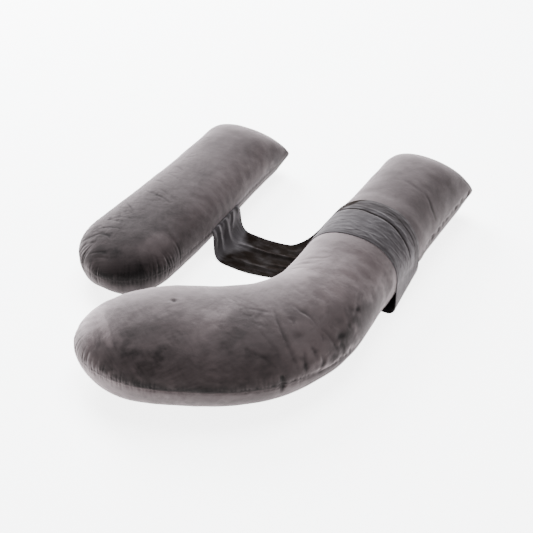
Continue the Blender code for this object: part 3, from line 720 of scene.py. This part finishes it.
CREASE_SHARE = 0.75  # of the creases' depth, as the rest is their shade
SLEEVE_SWELL = 0.0024  # the cover fills this much of the clearance under the sleeve
LUMP_HEIGHT, LUMP_SIZE = 0.0018, 0.16
SMALL_LUMP_HEIGHT, SMALL_LUMP_SIZE = 0.0006, 0.05
SOFT_RISE, SWELL_FROM = 0.03, 0.02  # lumps are full this far above the floor, and the swell starts here
TIP_EASE = 0.0004  # the tip itself stays in place
# A band of the arm: Y of its front and rear, and over how far it starts and ends.
Band = namedtuple("Band", "front rear ease")
SWOLLEN = Band(0.020, 0.320, 0.050)  # puffed up under the sleeve and a little to each side
PRESSED = Band(0.045, 0.300, 0.025)  # pressed smooth by the sleeve
ARM_SIDE = 0.10  # X from which a point is on the arm, not on the lobe or the side pillow


def in_band(points, band):
    """1 on a band of the arm."""
    return within(points[..., 1], *band) * (points[..., 0] > ARM_SIDE)


def pillow(name, shape, looks, material):
    """A filled, sewn pillow as one fine mesh, and how light its velvet is at each point, with painted shade
    in its gathers, creases and dimples.
    """
    along, points = surface(shape, FINE)
    tip = tip_of(shape)
    place = places_on(points, along, FINE, tip)
    out = normals_of(points)
    free = 1 - in_band(points, PRESSED) * shape.dented
    soft = eased(points[..., 2] / SOFT_RISE) * free
    lumps = LUMP_HEIGHT * smooth_noise(points, LUMP_SIZE, looks.seed)
    lumps += SMALL_LUMP_HEIGHT * smooth_noise(points, SMALL_LUMP_SIZE, looks.seed + 1)
    lumps += refined(*simulated_wrinkles(shape), along, points)
    tucks = gather_depth(place, looks.gathers, looks.seed)
    tucks += crinkle_depth(place, looks.crinkles, looks.seed)
    creases, dimples = crease_depth(place, looks.creases), dimple_depth(place, looks.dimples)
    swell = SLEEVE_SWELL * in_band(points, SWOLLEN) * shape.dented
    swell *= eased((points[..., 2] - SWELL_FROM) / SOFT_RISE)
    rise = lumps * soft + swell - (tucks + CREASE_SHARE * creases + dimples) * free - seam_depth(place)
    rise *= eased(place.along / TIP_EASE)
    # Painted shade in the gathers, crinkles, creases and dimples, darker the deeper they are.
    tone = patch_tone(place, points, looks) - TUCK_PAINTED_SHADE * tucks
    tone -= CREASE_PAINTED_SHADE * creases + DIMPLE_PAINTED_SHADE * dimples
    thing = skin(name, floored(points + out * rise[..., None]), tip)
    thing.data.materials.append(material)
    set_tone(thing, tone)
    return thing


# ---- belt

CLOTH = 0.0026
CLEARANCE = 0.002
SPLIT_FRONT, SPLIT_REAR, SPLIT_BOW = 0.112, 0.042, 4.0  # X of the split's ends, and how it bows between them
SPLIT_LIP = (0.006, 0.0003)  # how far inside and over it the sleeve's two layers meet
TAIL_PULLS = (0.0012, 0.017, 0.005, 0.062)  # X of the tail's curve points from the side pillow's seam
RISE_SAG, SAG_FACTOR = 0.022, 27 / 4  # the factor makes the sag's curve 1 at its most
HANG_X = 0.4345  # where the sleeve comes down to the floor
CORNER_FRONT, CORNER_REAR = 0.014, 0.066  # the sleeve's outer corner on the floor: its radius
HANG_STEPS, FLOOR_STEPS = 9, 5
RISE_STEPS, OVER_STEPS, DROP_STEPS, CORNER_STEPS, RETURN_STEPS = 5, 16, 4, 5, 6
TAIL_STEPS = HANG_STEPS + FLOOR_STEPS
ALL_STEPS = TAIL_STEPS + RISE_STEPS + OVER_STEPS + DROP_STEPS + CORNER_STEPS + RETURN_STEPS
CORNER_END = ALL_STEPS - RETURN_STEPS
FINER = 8  # points for each of the solid's steps along the belt
BELT_COLUMNS, KNOWN_LINES = 90, 9  # columns across it, and the lines of one Y that each is mixed from
EVEN_SHARE = 0.65  # how even the columns are. The rest draws them to the edges

# The solid's step from the side pillow's seam, and Y of the belt's front and rear edges there.
BELT_EDGES = [
    (0, 0.068, 0.224),  # side pillow's seam
    (4, 0.059, 0.219),
    (8, 0.033, 0.198),  # touches down
    (11, 0.027, 0.192),
    (14, 0.054, 0.204),  # split
    (19, 0.084, 0.260),  # meets the arm
    (27, 0.098, 0.266),  # top of the arm
    (32, 0.098, 0.248),
    (35, 0.090, 0.236),  # widest part of the arm
    (39, 0.080, 0.222),
    (44, 0.068, 0.212),  # on the floor again
    (50, 0.054, 0.204),  # split
]

# Ridges along the belt. Across is -1 at the front edge and 1 at the rear one, and changes by the drift.
Pleat = namedtuple("Pleat", "across reach height start end drift")
PLEATS = rows_of(Pleat, [
    (-0.9, 0.11, 0.0034, -3, 7, 0.02), (-0.62, 0.12, 0.0058, -3, 8.5, 0.05),
    (-0.36, 0.08, 0.0022, -3, 4.5, 0.12), (-0.1, 0.15, 0.005, -3, 9, 0.07),
    (0.26, 0.1, 0.0022, -3, 4, -0.1), (0.52, 0.11, 0.004, -3, 6, -0.16),
    (0.86, 0.08, 0.003, -3, 4.5, -0.04), (-0.8, 0.07, 0.0024, 12, 20, 0),
    (-0.55, 0.11, 0.003, 8, 15, -0.02), (-0.3, 0.07, 0.005, 11, 20, 0.02),
    (0.26, 0.08, 0.0056, 8, 20, 0.01), (0.7, 0.08, 0.0028, 12, 20, -0.03),
    (0.35, 0.45, 0.0016, 17, 35, 0), (0.59, 0.05, 0.0012, 20, 33, -0.09),
    (0.46, 0.03, 0.001, 20, 33, -0.09), (-0.35, 0.05, 0.0006, 21, 31, -0.03),
])
# The creases of the sleeve, with their depths as heights.
FURROWS = rows_of(Pleat, [
    (0.53, 0.028, 0.0026, 17, 35, -0.1), (0.43, 0.018, 0.0013, 20, 32, -0.09),
    (0.74, 0.018, 0.0008, 25, 35, -0.08), (0.1, 0.016, 0.0006, 19, 25, 0.05),
    (-0.3, 0.016, 0.0006, 20, 28, -0.04),
])
FURROW_PAINTED_SHADE = 170.0  # painted shade in the sleeve's creases: tone lost for each metre of a crease's depth
SHARP_ANGLE = radians(75)
WOBBLE, WOBBLE_STEPS = 0.035, 3  # how far a ridge wanders, as a share of half the belt's width, and how often


def arm_line(y):
    """The arm's section at a place along it, over the top from inside to outside, with world X."""
    end = spine_of_main(np.array([MAIN_LENGTH]))[1][0]
    along = MAIN_LENGTH - (end - y)
    station = Station(*between(MAIN_STATIONS, np.array([along]))[0])
    half = station.width / 2
    line = outline(half, half * FLAT_SHARE, BELT_DENT, levels_of(station)[1], station.height, steps=60)[::-1]
    return line + (spine_of_main(np.array([along]))[0][0], 0.0)


def grown(line, by):
    """A line moved outwards, to the left of its run."""
    way = unit(np.gradient(line, axis=0))
    return line + np.stack([-way[:, 1], way[:, 0]], 1) * by


def side_seam(y):
    """(x, height) of the side pillow's seam that faces the arm."""
    along = np.array([(y - SIDE_END[1]) / sin(SIDE_HEADING)])
    across, height = ring(Station(*between(SIDE_STATIONS, along)[0]), 0.0, 0.0, 0.0, COARSE)[0]
    x, _, heading = spine_of_side(along)
    return x[0] + (across - SEAM_DEPTH) * sin(heading[0]), height


def line_steps(count):
    """Shares of the way along one stretch of the belt, its end left to the next stretch."""
    return np.arange(count * FINER) / (count * FINER)


def belt_line(y, across):
    """The middle of the belt's cloth at a place across it, from the side pillow round the arm and back."""
    side_x, seam_height = side_seam(y)
    floor = CLOTH / 2
    t = line_steps(HANG_STEPS)
    shares = np.stack([(1 - t) ** 3, 3 * t * (1 - t) ** 2, 3 * t * t * (1 - t), t**3])
    drop = seam_height + (floor - seam_height) * (shares[2] + shares[3])
    tail = side_x + np.array(TAIL_PULLS) @ shares, drop
    split = SPLIT_FRONT + (SPLIT_REAR - SPLIT_FRONT) * ((across + 1) / 2) ** SPLIT_BOW
    on_floor = straight((side_x + TAIL_PULLS[-1], floor), (split, floor), line_steps(FLOOR_STEPS))

    over = grown(arm_line(y), CLEARANCE + floor)
    slopes = (over[: len(over) // 2, 1] - floor) / np.maximum(over[: len(over) // 2, 0] - split, 1e-6)
    first, widest = int(np.argmax(slopes)), int(np.argmax(over[:, 0]))
    t = line_steps(RISE_STEPS)
    sag = RISE_SAG * SAG_FACTOR * t * (1 - t) ** 2
    rise = straight((split, floor), over[first], t) + (sag / 2, -sag / 2)
    over = over[first : widest + 1]
    run = run_of(over)
    sleeve = spots_on(over, run, run[-1] * line_steps(OVER_STEPS)).T

    corner = CORNER_FRONT + (CORNER_REAR - CORNER_FRONT) * (across + 1) / 2
    x, height = over[-1]
    low = corner + floor
    t = line_steps(DROP_STEPS)
    hang = x + (HANG_X - x) * eased(t), height - (height - low) * t
    a = pi / 2 * line_steps(CORNER_STEPS)
    turn = HANG_X - corner + corner * np.cos(a), low - corner * np.sin(a)
    back = straight((HANG_X - corner, floor), (split, floor), np.append(line_steps(RETURN_STEPS), 1.0))
    return np.hstack([tail, on_floor, rise, sleeve, hang, turn, back]).T


def belt_middle():
    """The middle of the cloth and its outward directions, as arrays of columns across and points along."""
    steps = np.arange(ALL_STEPS * FINER + 1) / FINER
    edges = between(BELT_EDGES, steps)
    front, rear = edges[:, 1], edges[:, 2]
    acrosses = -np.cos(pi * np.arange(BELT_COLUMNS + 1) / BELT_COLUMNS) * (1 - EVEN_SHARE)
    acrosses += EVEN_SHARE * np.linspace(-1, 1, BELT_COLUMNS + 1)
    middle, outward = [], []
    for across in acrosses:
        y = front + (rear - front) * (across + 1) / 2
        known = np.linspace(y.min(), y.max(), KNOWN_LINES)
        lines = np.array([belt_line(value, across) for value in known])
        spot = (y - known[0]) / (known[1] - known[0])
        i = np.clip(spot.astype(int), 0, KNOWN_LINES - 2)
        share = (spot - i)[:, None]
        index = np.arange(len(steps))
        flat = lines[i, index] * (1 - share) + lines[i + 1, index] * share
        x, z = flat.T
        middle.append(np.stack([x, y, z], 1))
        way = np.gradient(flat, axis=0)
        way[TAIL_STEPS * FINER] = (1.0, 0.0)
        way[-1] = (-1.0, 0.0)
        way = unit(way)
        outward.append(np.stack([-way[:, 1], np.zeros_like(x), way[:, 0]], 1))
    return steps, acrosses, np.array(middle), np.array(outward)


# The solid's step, and the tone of the belt's velvet there.
BELT_NAP = [
    (0, 0.56), (5, 0.5), (8, 0.55), (11, 0.58), (16, 0.52), (20, 0.46), (23, 0.46), (30, 0.54),
    (36, 0.48), (40, 0.5), (50, 0.5),
]
HEM_WIDTH, HEM_RISE, HEM_EASE = 0.007, 0.0003, 0.001
STITCH_GAP, STITCH_DEPTH, STITCH_WIDTH = 0.0062, 0.0004, 0.0007
EDGE_ROUND, EDGE_THIN = 0.0014, 0.85  # how far in the edges are rounded, and how thin they get
EDGE_PAINTED_LIGHT, STITCH_PAINTED_SHADE_SHARE = 0.40, 0.4  # painted light makes the sleeve's front edge lighter, and painted shade its stitched line darker
FRONT_PRESS, REAR_PRESS, PRESS_REACH = 0.0006, 0.0021, 0.014  # how deep the sleeve's edges sink in the cover
MOTTLE, MOTTLE_SIZE, MOTTLE_DRAWN = 0.10, 0.016, (0.5, 1.0, 1.0)
RIDGE_PAINTED_LIGHT = 5.0  # painted highlight on the ridges and shade in the hollows: tone gained for each metre of a ridge's height
FLOOR_TONE = -0.54  # the nap lies the other way from where the belt touches down to where it meets the arm
TOUCH_STEP, TOUCH_REACH, TOUCH_ACROSS, TOUCH_WIDTH = 7.4, 1.6, 0.2, 0.45
ARM_STEP, ARM_LAG, ARM_FROM, ARM_WIDTH = 19.2, 3.9, -0.1, 1.1
UNEVEN, UNEVEN_SIZE, TONE_STEPS = 0.35, 0.030, 1.5  # how ragged that tone's ends are, and how soft
REAR_FROM, REAR_TONE, REAR_EASE = 0.35, 0.22, 0.25  # the sleeve is darker behind its long crease
EASE_STEPS = 3  # ridges, the pull and the sleeve's hold start and end over these steps
FLAT_STEPS, DRIFT_STEPS = 1.2, 4  # ridges are full this far from the side pillow, and drift in these steps
SLEEVE_START, SLEEVE_END = 18, 37  # steps from and to which the belt lies on the arm
SEWN_STEPS, FADE_STEPS = 0.8, 2  # the cloth is flat this near its sewn ends and the floor under the arm
LIE_SIZE, LEAST_LIE = 0.050, 0.15  # how its wrinkles come and go

# The thin velvet's fine wrinkles: how drawn out they are, their slant, size, height and sharpness.
Wrinkles = namedtuple("Wrinkles", "drawn slant size height sharp")
WRINKLES = rows_of(Wrinkles, [(0.22, 0, 0.015, 0.0012, 2.4), (0.45, 0.3, 0.011, 0.0005, 2)])
PULLS = [(7, 0.6), (15, 0.4), (34, -0.5)]  # steps from which it is pulled tighter, and how much
LOOSE_SHARE = 0.25  # of the wrinkles' height, where it is not pulled


def pleat_height(rows, steps, acrosses, seed):
    """Height of the ridges at each place on the belt. They stand off the floor and off the arm."""
    step, across = steps[None, :], acrosses[:, None]
    height = np.zeros((len(acrosses), len(steps)))
    for i, pleat in enumerate(rows):
        fade = within(step, pleat.start, pleat.end, EASE_STEPS)
        moved = pleat.across + pleat.drift * (step - max(pleat.start, 0)) / DRIFT_STEPS
        moved = moved + WOBBLE * flat_noise(step / WOBBLE_STEPS, 0 * step, seed + i)
        height += pleat.height * fade * bell((across - moved) / pleat.reach)
    return height * eased(step / FLAT_STEPS)


def wrinkle_height(middle, steps):
    """Height of the fine wrinkles of the thin velvet, drawn out along the belt where it is pulled tight."""
    run = run_of(middle)
    ridges = np.zeros_like(run)
    for i, row in enumerate(WRINKLES):
        valley = np.abs(flat_noise(run * row.drawn, middle[..., 1] + run * row.slant, 21 + i, row.size))
        ridges += row.height * (1 - np.minimum(1, row.sharp * valley))
    lie = 0.5 + 0.5 * smooth_noise(middle, LIE_SIZE, 23)
    tight = sum(share * eased((steps - start) / EASE_STEPS) for start, share in PULLS)
    return ridges * (LOOSE_SHARE + (1 - LOOSE_SHARE) * tight) * np.clip(lie, LEAST_LIE, 1.0)


def edge_gap(middle, edge):
    """How far each point of the belt lies from one of its long edges: the first column or the last one."""
    return np.linalg.norm(middle - middle[edge], axis=2)


def hem_height(middle):
    """The doubled cloth along both long edges, and the stitched line beside it."""
    rise = np.zeros(middle.shape[:2])
    for edge in (0, -1):
        gap = edge_gap(middle, edge)
        rise += HEM_RISE * eased((HEM_WIDTH - gap) / HEM_EASE)
        rise -= STITCH_DEPTH * bell((gap - STITCH_GAP) / STITCH_WIDTH)
    return rise


def belt(material):
    """The belt as one closed sheet: a tail from the side pillow's seam, and a sleeve round the arm."""
    steps, acrosses, middle, outward = belt_middle()
    furrows = pleat_height(FURROWS, steps, acrosses, 60)
    on_arm = within(steps, SLEEVE_START, SLEEVE_END, EASE_STEPS)
    lift = pleat_height(PLEATS, steps, acrosses, 40) + wrinkle_height(middle, steps)
    for edge, depth in ((0, FRONT_PRESS), (-1, REAR_PRESS)):
        held = on_arm * (1 - eased(edge_gap(middle, edge) / PRESS_REACH))
        lift = lift * (1 - held) - depth * held
    ends = eased(steps / SEWN_STEPS) * eased((ALL_STEPS - steps) / FADE_STEPS)
    above_floor = 1 - eased((steps - CORNER_END + FADE_STEPS) / FADE_STEPS)
    lift = (lift - furrows + hem_height(middle) + STITCH_DEPTH) * ends * above_floor
    # Painted highlights on the ridges, and painted shade in the hollows and the sleeve's creases.
    tone = looked_up(BELT_NAP, steps) - RIDGE_PAINTED_LIGHT * (lift.mean() - lift) - FURROW_PAINTED_SHADE * furrows
    across = acrosses[:, None]
    tone -= REAR_TONE * eased((across - REAR_FROM) / REAR_EASE) * on_arm
    # Painted light on the sleeve's rounded front edge, and painted shade on the stitched line beside it.
    gap = edge_gap(middle, 0)
    edge_painted_light = bell(gap / EDGE_ROUND) - STITCH_PAINTED_SHADE_SHARE * bell((gap - STITCH_GAP) / EDGE_ROUND)
    tone += EDGE_PAINTED_LIGHT * on_arm * edge_painted_light
    ragged = UNEVEN * smooth_noise(middle, UNEVEN_SIZE, 31)
    touch = TOUCH_STEP + TOUCH_REACH * bell((across - TOUCH_ACROSS) / TOUCH_WIDTH) + ragged
    leave = ARM_STEP + ARM_LAG * eased((across - ARM_FROM) / ARM_WIDTH) + 2 * ragged
    tone += FLOOR_TONE * within(steps, touch, leave, TONE_STEPS)
    tone += MOTTLE * smooth_noise(middle * MOTTLE_DRAWN, MOTTLE_SIZE, 33, octaves=3)
    middle = middle + outward * lift[..., None]
    edge = np.clip(1 - np.minimum(edge_gap(middle, 0), edge_gap(middle, -1)) / EDGE_ROUND, 0.0, 1.0)
    half_cloth = outward * (CLOTH / 2 * np.sqrt(1 - EDGE_THIN * np.square(edge)))[..., None]
    split, last = TAIL_STEPS * FINER, len(steps) - 1
    outer, below = floored(middle + half_cloth), floored(middle - half_cloth)
    inner, under = below[:, split:last].copy(), below[:, : split + 1]
    inner[:, 0] = middle[:, split] + (SPLIT_LIP[0], 0.0, SPLIT_LIP[1])
    under[:, -1, 2] = 0.0
    thing = skin_belt(np.concatenate([outer[:, :last], under[:, ::-1]], axis=1), inner, split, last)
    thing.data.materials.append(material)
    outer_tone = np.concatenate([tone[:, :last], tone[:, split::-1]], axis=1)
    set_tone(thing, np.concatenate([outer_tone.ravel(), tone[:, split:last].ravel()]))
    return thing


def skin_belt(outer, inner, split, last):
    """Joins the belt's points with faces: its outside, the inside of the sleeve, and the two long edges."""
    outer_index = np.arange(outer.size // 3).reshape(outer.shape[:2])
    inner_index = np.arange(inner.size // 3).reshape(inner.shape[:2]) + outer_index.size
    faces = []
    for index, flip in ((outer_index, False), (inner_index, True)):
        after = np.roll(index, -1, axis=1)
        quads = np.stack([index[:-1], after[:-1], after[1:], index[1:]], 2).reshape(-1, 4)
        faces += (quads[:, ::-1] if flip else quads).tolist()
    for side, flip in ((0, True), (-1, False)):
        out, hole = outer_index[side].tolist(), inner_index[side].tolist()
        end = len(out) - 1
        edge = [(out[i], out[i + 1], out[end - i - 1], out[end - i]) for i in range(split - 1)]
        edge.append((out[split - 1], out[split], hole[0], out[last], out[last + 1]))
        edge += [(out[split + i], out[split + i + 1], hole[i + 1], hole[i]) for i in range(last - split - 1)]
        edge.append((out[last - 1], out[last], hole[0], hole[-1]))
        faces += [face[::-1] for face in edge] if flip else edge
    thing = meshed("belt_velvet", np.vstack([outer.reshape(-1, 3), inner.reshape(-1, 3)]), faces)
    thing.data.set_sharp_from_angle(angle=SHARP_ANGLE)
    return thing


# ---- materials


def filled_in(node, **values):
    """The node with its inputs set by name, each to a value or to another node's output."""
    for name, value in values.items():
        socket = node.inputs.get(name.replace("_", " "))
        if socket is None:
            setattr(node, name, value)
        elif isinstance(value, bpy.types.NodeSocket):
            node.id_data.links.new(value, socket)
        else:
            socket.default_value = value
    return node


def new_material(name, **values):
    """A new material and its shader, with the shader's inputs set by name."""
    material = bpy.data.materials.new(name)
    material.use_nodes = True
    return material, filled_in(material.node_tree.nodes["Principled BSDF"], **values)


VELVET_ROUGHNESS, SHEEN_ROUGHNESS = 0.85, 0.38
# Scale, detail, roughness and distortion of the noises for its brushed patches and streaks, and their shares.
BRUSHED, STREAKED = (11.0, 5.0, 0.6, 0.8), (46.0, 3.0, 0.6, 0.3)
PILE = (2.0, 0.7, 0.0)  # the same for its pile, whose scale is the velvet's own
BRUSHED_SHARE, STREAKED_SHARE, PILE_SHARE = 0.17, 0.10, 0.12
NOISE_MEAN = 0.195  # of the three together
PILE_BUMP = {"Strength": 0.35, "Distance": 0.0004}
STREAK_BUMP = {"Strength": 0.5, "Distance": 0.0012}
PAINTED_SHEEN_FROM, PAINTED_SHEEN_FULL, PAINTED_SHEEN_MOST = 0.25, 1.05, 0.80  # slants at which its painted sheen, a paler colour at a slant, starts and is full
# Dark and light are its brushed shades seen straight on; the two after them are the same painted paler at a
# slant, as a painted sheen.
Velvet = namedtuple("Velvet", "name dark light slant_dark slant_light gloss sheen sheen_tint pile")
COVER = Velvet(
    "velvet_cover", (0.0032, 0.0021, 0.0020, 1), (0.080, 0.0605, 0.0615, 1), (0.063, 0.049, 0.050, 1),
    (0.62, 0.525, 0.537, 1), gloss=0.12, sheen=0.25, sheen_tint=(0.62, 0.56, 0.57, 1), pile=900.0,
)
BELT = Velvet(
    "velvet_belt", (0.0040, 0.0022, 0.0014, 1), (0.0625, 0.0560, 0.0598, 1), (0.0130, 0.0082, 0.0062, 1),
    (0.408, 0.374, 0.390, 1), gloss=0.04, sheen=0.03, sheen_tint=(0.50, 0.47, 0.47, 1), pile=1100.0,
)


def velvet(row):
    """Short-pile velvet: brushed patches in its colour, painted paler at a slant as a painted sheen, with a
    soft shader sheen and fine pile.
    """
    material, shader = new_material(
        row.name, Roughness=VELVET_ROUGHNESS, Specular_IOR_Level=row.gloss, Sheen_Weight=row.sheen,
        Sheen_Roughness=SHEEN_ROUGHNESS, Sheen_Tint=row.sheen_tint,
    )

    def node_of(kind, **values):
        return filled_in(material.node_tree.nodes.new(f"ShaderNode{kind}"), **values)

    place = node_of("TexCoord").outputs["Object"]

    def speckled(scale, detail, rough, bent):
        node = node_of("TexNoise", Vector=place, Scale=scale, Detail=detail, Roughness=rough, Distortion=bent)
        return node.outputs["Fac"]

    def added(first, second, share):
        node = node_of("Math", operation="MULTIPLY_ADD")
        material.node_tree.links.new(second, node.inputs[0])
        node.inputs[1].default_value = share
        material.node_tree.links.new(first, node.inputs[2])
        return node.outputs["Value"]

    def ranged(value, low, high, most):
        return node_of("MapRange", Value=value, From_Min=low, From_Max=high, To_Max=most).outputs["Result"]

    def blended(first, second, share):
        return node_of("Mix", data_type="RGBA", A=first, B=second, Factor=share).outputs["Result"]

    brushed, streaks, pile = speckled(*BRUSHED), speckled(*STREAKED), speckled(row.pile, *PILE)
    fine = node_of("Bump", Height=pile, **PILE_BUMP).outputs["Normal"]
    soft = node_of("Bump", Height=streaks, Normal=fine, **STREAK_BUMP).outputs["Normal"]
    total = added(node_of("Attribute", attribute_name="tone").outputs["Fac"], brushed, BRUSHED_SHARE)
    total = added(added(total, streaks, STREAKED_SHARE), pile, PILE_SHARE)
    shade = ranged(total, NOISE_MEAN, 1 + NOISE_MEAN, 1.0)
    straight, painted_sheen = blended(row.dark, row.light, shade), blended(row.slant_dark, row.slant_light, shade)
    # The colour turns paler where the surface is seen at a slant: a painted sheen.
    facing = node_of("LayerWeight", Blend=0.5, Normal=soft).outputs["Facing"]
    slant = ranged(facing, PAINTED_SHEEN_FROM, PAINTED_SHEEN_FULL, PAINTED_SHEEN_MOST)
    filled_in(shader, Base_Color=blended(straight, painted_sheen, slant), Normal=soft)
    return material


# ---- stage


CAMERA_PLACE = (1.526, -2.523, 2.389)
CAMERA_FACING = (-0.3901, 0.6788, -0.6222)
LENS_MM = 90.46
SENSOR_MM, FARTHEST = 36.0, 50.0
FLOOR_SIZE = 60.0
FLOOR_COLOUR, FLOOR_ROUGHNESS, FLOOR_GLOSS, FLOOR_GLOW = (0.90, 0.90, 0.90, 1.0), 0.9, 0.1, 4.6
WHITE = (1.0, 1.0, 1.0, 1.0)
SKY_LIGHT = 0.30
LAMP_COLOUR = (0.93, 0.975, 1.0)
Lamp = namedtuple("Lamp", "name place aim width power")
LAMPS = rows_of(Lamp, [
    ("key", (-3.4, 2.2, 2.6), (0.0, 0.0, 0.1), 2.6, 700.0),
    ("top", (-0.6, 1.6, 4.6), (0.0, 0.0, 0.0), 3.4, 500.0),
])


def placed(name, data, place, facing):
    """A lamp or a camera in the scene, facing a way."""
    thing = bpy.data.objects.new(name, data)
    thing.location = place
    thing.rotation_euler = Vector(facing).to_track_quat("-Z", "Y").to_euler()
    bpy.context.scene.collection.objects.link(thing)
    return thing


def stage():
    """The pale floor, the soft lights and the camera."""
    corners = [(x * FLOOR_SIZE, y * FLOOR_SIZE, 0) for x, y in ((-1, -1), (1, -1), (1, 1), (-1, 1))]
    floor = meshed("floor", corners, [(0, 1, 2, 3)])
    pale, _ = new_material(
        "pale_floor", Base_Color=FLOOR_COLOUR, Roughness=FLOOR_ROUGHNESS, Specular_IOR_Level=FLOOR_GLOSS,
        Emission_Color=WHITE, Emission_Strength=FLOOR_GLOW,
    )
    floor.data.materials.append(pale)

    world = bpy.data.worlds.new("studio")
    world.use_nodes = True
    filled_in(world.node_tree.nodes["Background"], Color=WHITE, Strength=SKY_LIGHT)
    bpy.context.scene.world = world

    for row in LAMPS:
        lamp = bpy.data.lights.new(row.name, "AREA")
        lamp.shape = "DISK"
        lamp.size = row.width
        lamp.energy = row.power
        lamp.color = LAMP_COLOUR
        placed(row.name, lamp, row.place, Vector(row.aim) - Vector(row.place))

    lens = bpy.data.cameras.new("camera")
    lens.lens = LENS_MM
    lens.sensor_width = SENSOR_MM
    lens.clip_end = FARTHEST
    bpy.context.scene.camera = placed("camera", lens, CAMERA_PLACE, CAMERA_FACING)


# ---- all of it


def main():
    stage()
    cover = velvet(COVER)
    for name, node, shape, looks in (
        ("main_pillow_velvet", "main_pillow", MAIN, MAIN_LOOKS),
        ("side_pillow_velvet", "side_pillow", SIDE, SIDE_LOOKS),
    ):
        thing = pillow(name, shape, looks, cover)
        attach(thing, "root")
        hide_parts(node)

    strap = belt(velvet(BELT))
    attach(strap, "root")
    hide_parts("belt")


main()
